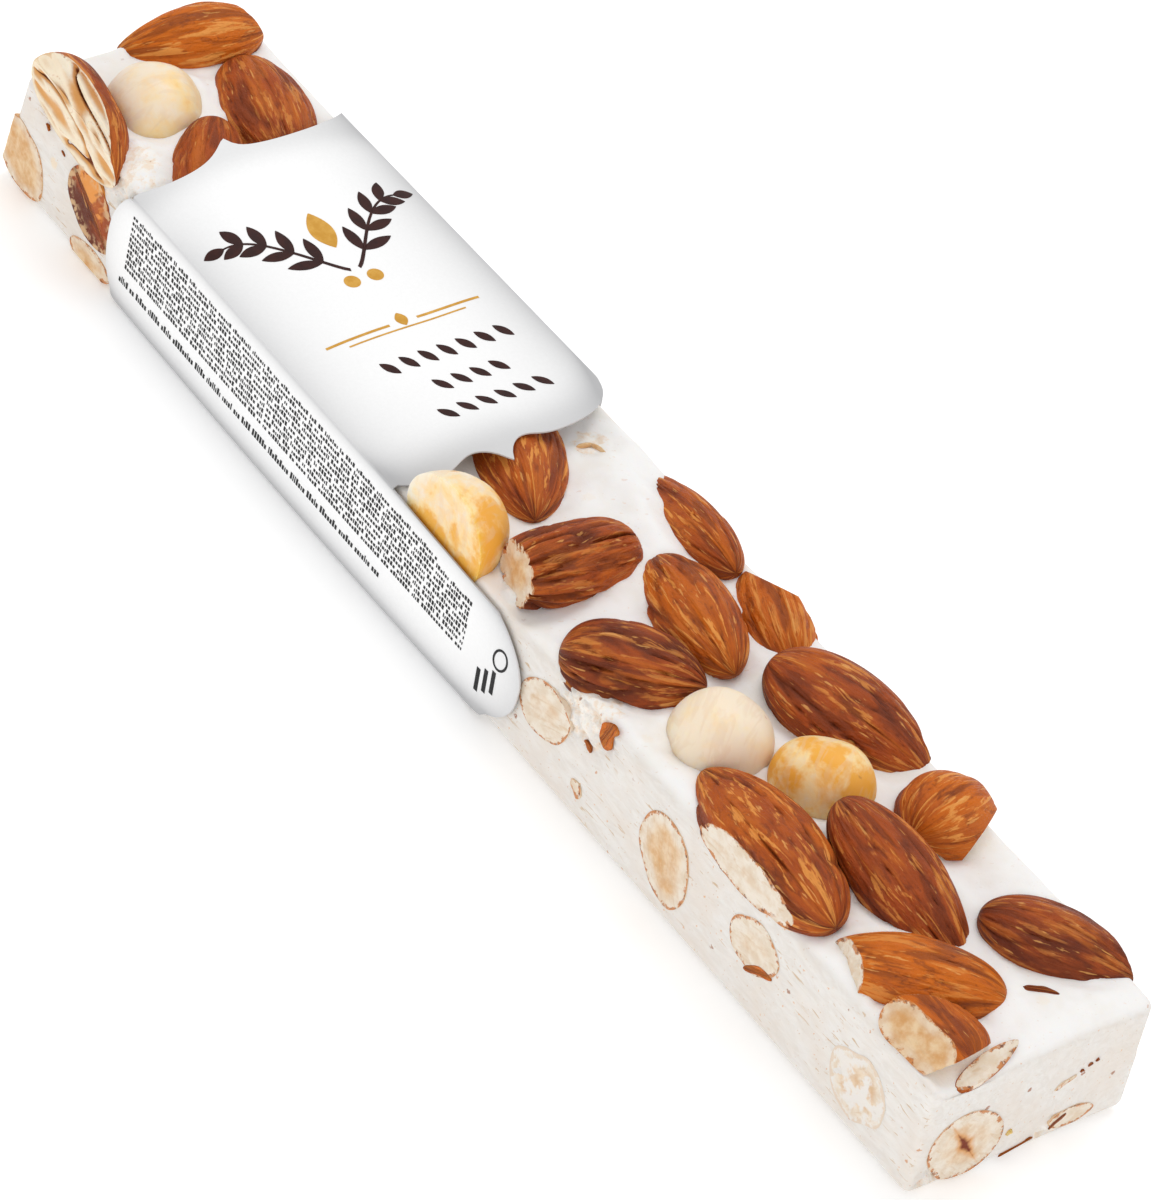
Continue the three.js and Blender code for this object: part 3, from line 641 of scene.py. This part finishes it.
# ---- Hazelnuts on the top ----
# Hazelnuts without their skins, roasted pale to golden, pressed into the nougat beside the almonds.
# The knife has gone through the one at the edge. Each is smooth with soft golden clouds.
HAZELNUT_FLESH = (0.3, 0, 1)     # colour of the flesh, no hollow, no rim of skin
hazelnut_gold, tree, shader = finish_named(
    "hazelnut_gold", Subsurface_Weight=0.6, Subsurface_Radius=(1.0, 0.8, 0.45),
    Subsurface_Scale=0.003, Specular_IOR_Level=0.4)
flesh, low = values(tree, "flesh"), parts(values(tree, "edge"))[2]
tone, turning, clouds = parts(values(tree, "look"))
cloud = noise_at(flesh, 0.28, 4, 0.62, twist=0.2)
toast = times(maths("SUBTRACT", cloud, 0.5), clouds, tone)
# Painted shade on the undersides, which face away from the light: they are made more golden
toast = times(parts(flesh)[0], turning, times(low, 0.6, toast))
colour = mix(step(toast, -0.1, 0.5), rgb(245, 228, 205), rgb(250, 216, 158))
colour = mix(step(toast, 0.4, 1.0), colour, rgb(242, 176, 66))
ring_mark = noise_at(flesh, 1.0, 2, 0.5, stretch=(0.7, 0.2, 0.2), twist=1.2)
colour = lay(colour,
             (step(ring_mark, 0.5, 0.62), 0.3, rgb(232, 204, 172)),
             (crumbs_in(flesh, 0.03, 0.7), 0.5, rgb(196, 124, 66)))
coat(shader, colour, cloud, 0.34, 0.55)
emboss(shader, times(noise_at(flesh, 1.6, 3), 0.5, ring_mark), 0.3, 0.0003)

for seed, (name, (at, size, turn, tone, turning, clouds)) in enumerate(HAZELNUTS.items(), 31):
    nut = nut_form(name + "_nut", size, round_outline, seed, (hazelnut_gold, nut_flesh), lumps=0.03,
                   around=80, rings=56, keel=0)
    look = (tone, turning, clouds) + HAZELNUT_FLESH
    dress_nut(nut, nut_place(at, turn), size, seed, (), look, flesh_slot=0)
    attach(nut, "root")
    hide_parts(name)

# ---- Nuts cut flush with the faces of the bar ----
# Nuts inside the slab that the knife has sliced: each shows as a pale flat oval with a thin brown
# line of skin round it, on the long sides, the two ends and the underside.
# Face, place along it and its height, half widths, depth, turn; then flesh from pale to tan and
# the size of the dark hollow in its middle.
SLICED = {
    "cut_almond_01": ("front", (21.1, 9.3), (4.7, 3.6), 4, 20, 0.1, 0),
    "cut_almond_02": ("front", (44.4, 7.6), (5.8, 4.2), 4.4, -67, 0.4, 0),
    "cut_almond_03": ("front", (60.4, 9.4), (4.3, 3.3), 4, 11, 0.1, 0),
    "cut_hazelnut_01": ("front", (79.8, 6.6), (4.7, 4.1), 4.4, 47, 0.3, 0),
    "cut_almond_04": ("front", (-86.6, 4.4), (5.6, 4), 4.2, -34, 0.6, 0),
    "cut_almond_05": ("front", (-72, 7.7), (5.5, 4), 3.4, -36, 0.3, 0),
    "cut_almond_06": ("front", (-70.6, 1.1), (4.4, 1.7), 3, 2, 0.6, 0),
    "cut_hazelnut_02": ("near", (-8.3, 5.2), (5.6, 4.5), 4.6, -42, 0.2, 1.35),
    "cut_almond_07": ("near", (7, 2.5), (3.1, 1.4), 3, -2, 0.3, 0),
    "cut_almond_08": ("back", (-80, 8.4), (5.2, 3.6), 4, 35, 0.2, 0),
    "cut_hazelnut_03": ("back", (34, 5.6), (4.8, 4.3), 4.2, 10, 0.2, 0.8),
    "cut_almond_09": ("back", (49, 8.2), (5.5, 3.4), 4, -24, 0.3, 0),
    "cut_almond_10": ("back", (66, 4.6), (4.4, 3), 4, 58, 0.1, 0),
    "cut_almond_11": ("back", (80, 7.4), (5.1, 3.5), 4, -12, 0.3, 0),
    "cut_almond_12": ("far", (-3.5, 7.2), (5.2, 3.4), 4, 24, 0.2, 0),
    "cut_hazelnut_04": ("far", (8.6, 4.8), (4.2, 3.8), 4, 0, 0.2, 0.9),
    "cut_almond_13": ("under", (36, -4), (5.4, 3.6), 4, 30, 0.2, 0),
    "cut_almond_14": ("under", (63, 5), (5.2, 3.4), 4, -50, 0.3, 0),
    "cut_almond_15": ("under", (-78, 3), (4.8, 3.4), 4, 15, 0.2, 0),
}
lean = Vector((FAR_SLANT, 0, HEIGHT)).normalized()
FACES = {
    "front": (Vector((0, -SIDE, 0)), Vector((1, 0, 0)), Vector((0, 0, 1))),
    "back": (Vector((0, SIDE, 0)), Vector((1, 0, 0)), Vector((0, 0, 1))),
    "near": (Vector((NEAR, 0, 0)), Vector((0, 1, 0)), Vector((0, 0, 1))),
    "far": (Vector((-NEAR, 0, 0)), Vector((0, 1, 0)), lean),
    "under": (Vector((0, 0, 0)), Vector((1, 0, 0)), Vector((0, 1, 0))),
    "top": (Vector((0, 0, HEIGHT)), Vector((1, 0, 0)), Vector((0, 1, 0))),
}
SKINNED = "cut_almond_05"            # the knife has only grazed it, so its skin shows
BARE = "cut_hazelnut_01"             # no skin round it, so it fades into the nougat
BARE_SINK = 0.045


# Where a nut lies in a face: at a spot of it, turned in its plane
def face_place(base, along, up, at, turn):
    turned = Matrix((along, up, along.cross(up))).transposed().to_4x4()
    return (Matrix.Translation(base + along * at[0] + up * at[1]) @ turned
            @ Matrix.Rotation(radians(turn), 4, "Z"))


for seed, (name, (face, at, half, depth, turn, tan, hollow)) in enumerate(SLICED.items(), 51):
    outline = round_outline if "hazelnut" in name else almond_outline
    size = (2 * half[0], 2 * half[1], 2 * depth)
    bare = name == BARE
    stuff = almond_skin if name == SKINNED else nut_flesh
    nut = nut_form(name + "_nut", size, outline, seed, (stuff,), lumps=0.14 if bare else 0.06,
                   around=72, rings=40)
    dress_nut(nut, face_place(*FACES[face], at, turn), size, 0 if hollow else seed, (),
              (0.45, 1, 1, tan, hollow, bare), flesh_slot=0, proud=-BARE_SINK * bare)
    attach(nut, "root")
    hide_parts(name)

# ---- Chips of skin and nut ----
# Small broken chips of roasted skin and kernel that the knife has left in the cut faces and on the
# top. Each is an uneven, slightly curled flake that stands a hair proud of the face it lies in.
CHIP_DEEP, CHIP_PROUD, CHIP_CURL = 0.7, 0.05, 0.5
# What each is of, face, place, half widths, turn, and tone
CHIPS = (
    (almond_skin, "front", (31.3, 15), (2.2, 1.2), 72, 1.3),
    (almond_skin, "front", (28.9, 11), (0.8, 0.4), -30, 1.3),
    (nut_flesh, "front", (28.8, 4.3), (1.2, 0.9), -50, 0.4),
    (almond_skin, "front", (61.7, 6.9), (2.5, 0.6), 28, 1.2),
    (almond_skin, "near", (7.4, 10.2), (0.34, 0.22), 28, 0.7),
    (almond_skin, "near", (6.4, 9.7), (0.25, 0.2), 20, 0.8),
    (almond_skin, "near", (8.3, 10.5), (0.26, 0.2), 10, 0.7),
    (nut_flesh, "near", (4.4, 8.8), (1.5, 0.3), 24, 0.2),
    (almond_skin, "near", (-0.2, 0.9), (2.3, 0.08), 12, 1.3),
    (hazelnut_gold, "near", (-1.9, 4), (0.45, 0.36), 0, 1.2),
    (almond_skin, "near", (5, 2.5), (1.3, 0.3), 40, 0.3),
    (nut_flesh, "back", (20, 10), (1.6, 0.7), 30, 0.6),
    (almond_skin, "back", (58, 12), (1.2, 0.5), -20, 0.9),
    (almond_skin, "far", (2, 12.5), (1.4, 0.5), 15, 0.7),
    (almond_skin, "under", (20, 6), (1.6, 0.6), 35, 0.8),
    (almond_skin, "front", (-82.6, 12.1), (0.5, 0.16), -40, 1.3),
    (almond_skin, "front", (-78.9, 11), (0.45, 0.15), -20, 1.2),
    (almond_skin, "front", (-73.9, 12.6), (0.9, 0.45), 70, 1.3),
    (almond_skin, "front", (-71, 13.6), (1.1, 0.2), 20, 0.8),
    (almond_skin, "top", (83.8, 3.9), (2.1, 0.5), 52, 0.3),
    (nut_flesh, "top", (-6.8, 8.4), (1.1, 0.25), 75, 0.8),
    (nut_flesh, "top", (-5.4, 9.4), (1.2, 0.22), 15, 0.8),
)
for number, (stuff, face, at, half, turn, tone) in enumerate(CHIPS, 1):
    base, along, up = FACES[face]
    if face == "top":
        base = Vector((0, 0, HEIGHT + top_relief(*at) - CHIP_PROUD))
    seed, size = 80 + number, (2 * half[0], 2 * half[1], CHIP_DEEP)
    chip = nut_form(f"nut_chip_{number:02d}", size, round_outline, seed, (stuff,), lumps=0.22,
                    around=32, rings=20, keel=0)
    curled = points_of(chip)
    curled[:, 1] -= CHIP_CURL * half[1] * (curled[:, 0] / half[0]) ** 2
    move_points(chip, curled)
    dress_nut(chip, face_place(base, along, up, at, turn), size, seed, (), (tone, 0.5, 0, tone),
              flesh_slot=0, proud=CHIP_PROUD)
    if stuff == almond_skin:     # a chip of skin isn't frayed along its edge
        # This also leaves the chip without painted shade on its underside
        chip.data.attributes.remove(chip.data.attributes["edge"])
        add_values(chip, "edge", np.tile((9, 0, 0), (len(chip.data.vertices), 1)))
    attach(chip, "root")

# ---- Paper band ----
# A sleeve of white coated paper, printed before it is folded round the bar and glued to itself
# underneath. Its top panel is cut to a brace outline at both ends and arches over the nuts, and
# the long sides run out into round tongues.
PAPER = 0.2                                      # thickness of the paper
WALL = SIDE + 0.65                               # half the width of the band
BELLY = 0.4                                      # how far the long sides bow out
BAND_FAR, BAND_NEAR, BAND_CUSP = -62.2, -8, -3   # ends of the top panel, and y of their cusps
CREASE, CROWN, CROWN_ENDS = 0.3, 1.7, 1.8        # drop of the creases, and rise of the arch
REAR_LIFT = 1.4                                  # rise of the back crease towards the near end
BEND = 1.2                                       # radius of the folds under the bar
TONGUE, TONGUE_MIDDLE = 17, 8.6                  # end of the tongues and height of their middle
FRONT_FOLD, BACK_FOLD = 17.2, 14                 # height at which the tongues leave the sides
CREASE_Y, CREASE_Z = 15.6, 16.1                  # where the long sides turn into the top
UNDER_EDGES, LAP = (-62, 5), 0.26                # ends of the flaps underneath, and their lap
COLUMNS = 96                                     # points along the band


def rear_lift(x):
    return REAR_LIFT * min(1, max(0, (x + 66) / 50))


def crown_height(x, y):
    ends = smooth(abs(x - (BAND_FAR + BAND_NEAR) / 2), 12, 28)
    arch = 1 - min(1, abs(y) / WALL) ** 2.5
    return HEIGHT - CREASE + rear_lift(x) * smooth(y, 2, 15) + arch * (CROWN + CROWN_ENDS * ends)


# Ends of the top panel: a brace with a cusp in its middle, drawn back to the creases
def top_edges(y):
    off, across = abs(y - BAND_CUSP), abs(y) / WALL
    if y < BAND_CUSP:
        far = -62.1 - 3.3 * exp(-((off / 2.9) ** 1.3)) - 2.2 * across ** 5
    else:
        far = -63 - 2.4 * exp(-off / 0.8) - 0.3 * exp(-(((y + 2) / 3) ** 2))
        far -= 4.3 * across ** 2.7 * (y > 0)
    cusp = 2.8 * exp(-off / 1.1)
    bite = 0.8 * exp(-(((off - 3.6) / 2.4) ** 2))
    lobe = 0.5 * exp(-(((y + 10.8) / 3) ** 2))
    return far, BAND_NEAR + cusp - bite + lobe - shoulder(y)


def shoulder(y):
    across = abs(y) / WALL
    rear = 6.2 * across ** 4 + 1.2 * across ** 30 - 0.4
    return rear * smooth(y, -1, 3) + 3.2 * across ** 10 * (y < 0)


# Ends of a long side, which runs out into a round tongue below its fold
def side_edges(z, fold):
    if z < TONGUE_MIDDLE:
        bow = far_bow = sqrt(max(0, 1 - ((TONGUE_MIDDLE - z) / TONGUE_MIDDLE) ** 2.6))
    else:
        bow = max(0, 1 - ((z - TONGUE_MIDDLE) / (fold - TONGUE_MIDDLE)) ** 2) ** 0.7
        far_bow = bow if fold == FRONT_FOLD else 0.97
    return -62 - 5.4 * far_bow, 5 + (TONGUE - 5) * bow if bow > 0 else BAND_NEAR - 5.2


# Places on the way up a long side: its rounded foot, its flat, then the strip up to the crease
def side_stations(way, fold, upper):
    made = []
    for angle in range(15, 91, 15):
        lift = BEND * (1 - cos(radians(angle)))
        out = WALL - BEND + BEND * sin(radians(angle))
        made.append((way * out, lift - LIFT, side_edges(lift, fold)))
    for i in range(1, 33):
        z = BEND + (upper[0][0] - 0.15 - BEND) * i / 32
        made.append((way * WALL, z, side_edges(z, fold)))
    return made + [(way * WALL, z, edges) for z, edges in upper]


# Stations round the sleeve from the inner flap of the glue seam, up the back, over and round again
stations = []
for i in range(10):
    y = -5 + 19.4 * i / 9
    stations.append((y, -LIFT + LAP * (1 - smooth(y, -3, 5)), UNDER_EDGES))
stations += side_stations(1, BACK_FOLD, (
    (15.2, (-67, -16.5)), (15.8, (-67, -15.4)), (CREASE_Z, top_edges(CREASE_Y))))
for i in range(60):
    y = CREASE_Y - 2 * CREASE_Y * i / 59
    stations.append((y, None, top_edges(max(-SIDE, y))))
stations += reversed(side_stations(-1, FRONT_FOLD, (
    (15.65, (-63.8, 6)), (15.75, (-63.8, 1.5)), (15.85, (-63.9, -3)), (15.98, (-63.9, -7.2)),
    (CREASE_Z, top_edges(-SIDE)))))
for i in range(9):
    y = -14.4 + 16.4 * i / 8
    stations.append((y, -LIFT, UNDER_EDGES))


# Grey painted shade on the paper of the top: at both ends and along the creases
def top_painted_shade(x, y):
    to_near, to_far = max(0, BAND_NEAR - shoulder(y) - x), max(0, x - BAND_FAR + 1)
    along_crease = 0.5 + 0.3 * smooth(y, -5, 5) - 0.2 * smooth(-x, 50, 60) * (y < 0)
    return (0.61 * exp(-(to_near / 4.4) ** 2) + 0.3 * exp(-(to_far / 2.8) ** 2)
            + along_crease * exp(-(CREASE_Y - abs(y)) / 3.6))


# The same painted shade on a long side: along its foot and its crease, round the tongue and at the
# far end
def side_painted_shade(x, z, far, near):
    dim = 1.35 * exp(-max(0, z) / 1.4) + 0.6 * exp(-max(0, 16 - z) / 0.9)
    if near - x < x - far:
        return dim + 0.55 * exp(-(near - x) / 4.5)
    return dim + 0.3 * exp(-(x - far) / 1.8)


# A flat grid of faces from -1 to 1, to be laid over a panel
def grid(name, columns, rows):
    bpy.ops.object.select_all(action="DESELECT")
    bpy.ops.mesh.primitive_grid_add(x_subdivisions=columns, y_subdivisions=rows, size=2)
    piece = bpy.context.object
    piece.name = piece.data.name = name
    return piece


band = grid("paper_sleeve", COLUMNS, len(stations) - 1)
sheet, shade = [], []
for u, v, _ in points_of(band):
    part = (u + 1) / 2
    y, z, (far, near) = stations[round((v + 1) / 2 * (len(stations) - 1))]
    x = far + (near - far) * part
    if z is None:
        z, dim = crown_height(x, y), top_painted_shade(x, y)
    else:
        y *= 1 + BELLY * sin(pi * part) * (1 - z / HEIGHT) / WALL
        z += rear_lift(x) * smooth(z, 14, CREASE_Z) * (y > 0)
        dim = side_painted_shade(x, z, far, near)
    sheet.append((x * MM, y * MM, (z + LIFT) * MM))
    shade.append((min(1, dim), 0, 0))
move_points(band, sheet)
add_values(band, "shade", shade)
bpy.ops.object.mode_set(mode="EDIT")
bpy.ops.mesh.select_all(action="SELECT")
bpy.ops.mesh.normals_make_consistent(inside=False)
bpy.ops.object.mode_set(mode="OBJECT")


def thicken(piece, thick):
    wall = piece.modifiers.new("wall", "SOLIDIFY")
    wall.thickness, wall.offset = thick * MM, -1
    bpy.ops.object.modifier_apply(modifier="wall")


thicken(band, PAPER)
bpy.ops.object.shade_smooth_by_angle(angle=radians(40))

paper_white, tree, shader = finish_named("paper_white", Specular_IOR_Level=0.45)
place = millimetres(tree)
dim = parts(values(tree, "shade"))[0]
fibres = noise_at(place, 2.5, 4, 0.65)
colour = mix(step(fibres, 0.3, 0.7), rgb(255, 255, 255), rgb(252, 252, 252))
# Painted shade: the paper greys towards its creases, ends and foot
colour = lay(colour, (dim, 0.85, rgb(160, 160, 162)))
coat(shader, colour, fibres, 0.34, 0.42)
emboss(shader, fibres, 0.15, 0.0001)
band.data.materials.append(paper_white)
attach(band, "root")
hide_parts("paper_band")

# ---- Printing on the band ----
# Inks laid on the paper before it is folded: a brown branch with gold fruit, gold rules and rows of
# brown ovals on the top, fine black rows on both long sides, and a ring over three bars on the
# front tongue. They are plain ornaments, a few hundredths of a millimetre thick.
INK = 0.04               # thickness of the ink
MARK_CELL = 0.17         # width of the grid that the small marks are taken from
ROWS, ROW_TOP, ROW_STEP, ROW_TALL = 10, 13.55, 0.83, 0.56    # the fine rows on the long sides


def on_top(x, y):
    return x, y, crown_height(x, y) + INK


def on_side(way, fold):
    def place_on(x, z):
        far, near = side_edges(z, fold)
        bow = BELLY * sin(pi * (x - far) / (near - far)) * (1 - z / HEIGHT)
        return x, way * (WALL + bow + INK), z
    return place_on


on_front, on_back = on_side(-1, FRONT_FOLD), on_side(1, BACK_FOLD)


# A stroke of ink: a strip that follows a path over a panel, as wide as it says along its length
def stroke(name, panel, path, wide, cells=24):
    piece, laid = grid(name, cells, 2), []
    for u, v, _ in points_of(piece):
        t = (u + 1) / 2
        here, run = Vector(path(t)), Vector(path(t + 0.01)) - Vector(path(t - 0.01))
        spot = here + Vector((-run.y, run.x)).normalized() * v * wide(t) / 2
        x, y, z = panel(*spot)
        laid.append((x * MM, y * MM, (z + LIFT) * MM))
    move_points(piece, laid)
    return piece


def leaf(panel, at, length, width, turn):
    run = Vector((cos(radians(turn)), sin(radians(turn)))) * length
    return stroke("leaf", panel, lambda t: Vector(at) + run * t,
                  lambda t: width * max(0.02, sin(pi * min(1, max(0, t)))) ** 0.8, 14)


def ring(panel, at, radii, wide, turn=0):
    c, s = cos(radians(turn)), sin(radians(turn))
    def path(t):
        u, v = radii[0] * cos(2 * pi * t), radii[1] * sin(2 * pi * t)
        return at[0] + c * u - s * v, at[1] + s * u + c * v
    return stroke("ring", panel, path, lambda t: wide, 40)


def line(panel, start, end, wide):
    return stroke("rule", panel, lambda t: Vector(start).lerp(Vector(end), t), lambda t: wide, 20)


# Rows of small marks, left when the gaps of a fine grid are taken out of it. Each row has three
# bands of faces: a lower one and an upper one for the marks, and one for the space over them.
def fine_rows(name, panel, start, end, heights, tall, seed):
    draw = random.Random(seed)
    cells = int((end - start) / MARK_CELL)
    piece, marks = grid(name, cells, 3 * len(heights)), []
    for row in range(len(heights)):
        lower, upper = [], []
        while len(lower) < cells:
            for _ in range(draw.randint(2, 9)):
                run = draw.choice((1, 2, 2))
                lower += [True] * run + [False]
                upper += [draw.random() < 0.4] * run + [False]
            lower += [False, False]
            upper += [False, False]
        stop = cells if row < len(heights) - 1 else int(cells * 0.9)
        marks.append([lower[:stop], upper[:stop]])
    across = np.round((points_of(piece)[:, 0] + 1) / 2 * cells).astype(int)
    down = np.round((points_of(piece)[:, 1] + 1) / 2 * 3 * len(heights)).astype(int)
    laid = []
    for column, level in zip(across, down):
        row, rung = divmod(int(level), 3)
        base = heights[min(row, len(heights) - 1)]
        if row == len(heights):
            base, rung = base + 1.6 * tall, 0
        x, y, z = panel(start + MARK_CELL * column, base + (0, 0.65 * tall, tall)[rung])
        laid.append((x * MM, y * MM, (z + LIFT) * MM))
    bpy.ops.object.mode_set(mode="EDIT")
    bpy.ops.mesh.select_mode(type="FACE")
    bpy.ops.mesh.select_all(action="DESELECT")
    form = bmesh.from_edit_mesh(piece.data)
    for face in form.faces:
        middle = face.calc_center_median()
        column, level = int((middle.x + 1) / 2 * cells), int((middle.y + 1) / 2 * 3 * len(heights))
        row, rung = divmod(level, 3)
        kept = rung < 2 and column < len(marks[row][rung]) and marks[row][rung][column]
        face.select_set(not kept)
    for vert in form.verts:
        vert.co = laid[vert.index]
    bmesh.update_edit_mesh(piece.data)
    bpy.ops.mesh.delete(type="FACE")
    bpy.ops.object.mode_set(mode="OBJECT")
    return piece


# Joins the strokes of one ink, faces them outwards and gives them their thickness
def lay_ink(name, pieces, ink, outward):
    bpy.ops.object.select_all(action="DESELECT")
    for piece in pieces:
        piece.select_set(True)
    bpy.context.view_layer.objects.active = pieces[0]
    bpy.ops.object.join()
    print_layer = bpy.context.object
    print_layer.name = print_layer.data.name = name
    bpy.ops.object.mode_set(mode="EDIT")
    bpy.ops.mesh.select_all(action="SELECT")
    bpy.ops.mesh.remove_doubles(threshold=0.000002)
    bpy.ops.mesh.select_mode(type="FACE")
    bpy.ops.mesh.select_all(action="DESELECT")
    form = bmesh.from_edit_mesh(print_layer.data)
    form.normal_update()
    for face in form.faces:
        face.select_set(face.normal.dot(outward) < 0)
    bmesh.update_edit_mesh(print_layer.data)
    bpy.ops.mesh.flip_normals()
    bpy.ops.object.mode_set(mode="OBJECT")
    thicken(print_layer, INK)
    print_layer.data.materials.append(ink)
    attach(print_layer, "root")


def ink_named(name, deep, thin):
    made, tree, shader = finish_named(name, Specular_IOR_Level=0.2)
    patchy = noise_at(millimetres(tree), 0.9, 3, 0.6)
    coat(shader, mix(step(patchy, 0.35, 0.7), deep, thin), patchy, 0.36, 0.48)
    return made


brown_ink = ink_named("brown_ink", rgb(44, 12, 8), rgb(58, 20, 13))
gold_ink = ink_named("gold_ink", rgb(206, 150, 52), rgb(220, 168, 74))
black_ink = ink_named("black_ink", rgb(14, 14, 16), rgb(30, 30, 32))
UP, FRONT, BACK = Vector((0, 0, 1)), Vector((0, -1, 0)), Vector((0, 1, 0))

# Branch across the top: two curved stems from the middle outwards, leaves in pairs along them
brown, gold = [], []
for way in (-1, 1):
    def stem(t, way=way):
        return -41.5 - 9.5 * sin(pi * 0.55 * t) ** 1.2 if t > 0 else -41.5, way * (0.6 + 12 * t)
    brown.append(stroke("stem", on_top, stem, lambda t: 0.5 - 0.3 * t))
    for i in range(1, 6):
        at, ahead = Vector(stem(i / 5.4)), Vector(stem(i / 5.4 + 0.02))
        run = degrees(atan2(ahead.y - at.y, ahead.x - at.x))
        size = 4.8 - 0.4 * i
        turns = (run + 40, run - 40) if i < 5 else (run,)
        brown += [leaf(on_top, at, size, 1.5, turn) for turn in turns]
    gold.append(ring(on_top, (-39.7, way * 1.6), (0.5, 0.5), 1.0))
gold.append(leaf(on_top, (-51.5, 0), 6, 3, 0))
# Gold rules with a leaf between them, and rows of ovals nearer the end
gold += [line(on_top, (-31.6, -10.5), (-31.6, -1.9), 0.35),
         line(on_top, (-31.6, 1.9), (-31.6, 10.5), 0.35),
         line(on_top, (-30.6, -8), (-30.6, 8), 0.22), leaf(on_top, (-33.1, 0), 2.2, 1.5, 0)]
for x, count in ((-25.4, 7), (-20.6, 4), (-15.8, 6)):
    for i in range(count):
        brown.append(leaf(on_top, (x - 1.3, 1.2 + 2.6 * (i - (count - 1) / 2)), 2.8, 1.15, 32))
lay_ink("brown_print", brown, brown_ink, UP)
lay_ink("gold_print", gold, gold_ink, UP)

# Fine rows on the long sides, a taller row under those in front, and a ring over three bars
rows = sorted(ROW_TOP - ROW_STEP * i for i in range(ROWS))
black = [fine_rows("fine_rows", on_front, -63.2, 6.8, rows, ROW_TALL, 5),
         fine_rows("long_row", on_front, -63.9, -2.6, [3.7], 0.9, 8),
         ring(on_front, (13.1, 10.1), (1.5, 1.1), 0.3, 70)]
for i in range(3):
    foot, top = (10.3 + 1.25 * i, 3.2 + 0.8 * i), (10.1 + 1.25 * i, 6.4 + 0.8 * i)
    black.append(line(on_front, foot, top, 0.65))
lay_ink("black_print_front", black, black_ink, FRONT)
black = [fine_rows("fine_rows", on_back, -58, -6, rows[1:8], ROW_TALL, 6),
         ring(on_back, (-62.6, 9), (1.5, 1.5), 0.3)]
lay_ink("black_print_back", black, black_ink, BACK)

# ---- Floor, light and camera ----
# A plain white table, a wide soft light over the bar and a dim even room round it.
bpy.ops.object.select_all(action="DESELECT")
bpy.ops.mesh.primitive_plane_add(size=6, location=(0, 0, 0))
floor = bpy.context.object
floor.name = "floor"
floor_white, tree, shader = finish_named(
    "floor_white", Roughness=0.8, Specular_IOR_Level=0.1, Emission_Color=(1, 1, 1, 1),
    Emission_Strength=0.2)
cloth = noise_at(put("TexCoord", tree=tree).outputs["Object"], 3.0, 2)
white = mix(cloth, rgb(254, 254, 254), rgb(252, 252, 252))
tree.links.new(white, shader.inputs["Base Color"])
floor.data.materials.append(floor_white)

world = bpy.data.worlds.new("room")
bpy.context.scene.world = world
world.use_nodes = True
world.node_tree.nodes["Background"].inputs["Color"].default_value = (1, 1, 1, 1)
world.node_tree.nodes["Background"].inputs["Strength"].default_value = 0.78

for name, spot, aim, size, power in (
        ("overhead", (-0.25, 0.45, 1.2), (0, 0, 0), 0.9, 4.2),
        ("front_fill", (0.9, -1.2, 0.5), (0, 0, 0), 0.9, 2.6)):
    lamp = bpy.data.lights.new(name, "AREA")
    lamp.shape, lamp.size, lamp.energy = "DISK", size, power
    holder = bpy.data.objects.new(name, lamp)
    holder.location = spot
    holder.rotation_euler = (Vector(aim) - Vector(spot)).to_track_quat("-Z", "Y").to_euler()
    bpy.context.collection.objects.link(holder)

lens = bpy.data.cameras.new("camera")
lens.lens, lens.sensor_width, lens.sensor_fit = 206.31, 36, "AUTO"
lens.clip_start, lens.clip_end = 0.01, 20
camera = bpy.data.objects.new("camera", lens)
right, up = (0.56673, 0.80404, 0.17983), (-0.62945, 0.2817, 0.72418)
back = (0.53162, -0.5236, 0.66575)
camera.matrix_world = (Matrix.Translation((0.41393, -0.40114, 0.51816))
                       @ Matrix((right, up, back)).transposed().to_4x4())
bpy.context.collection.objects.link(camera)
bpy.context.scene.camera = camera
bpy.context.scene.view_settings.view_transform = "Standard"
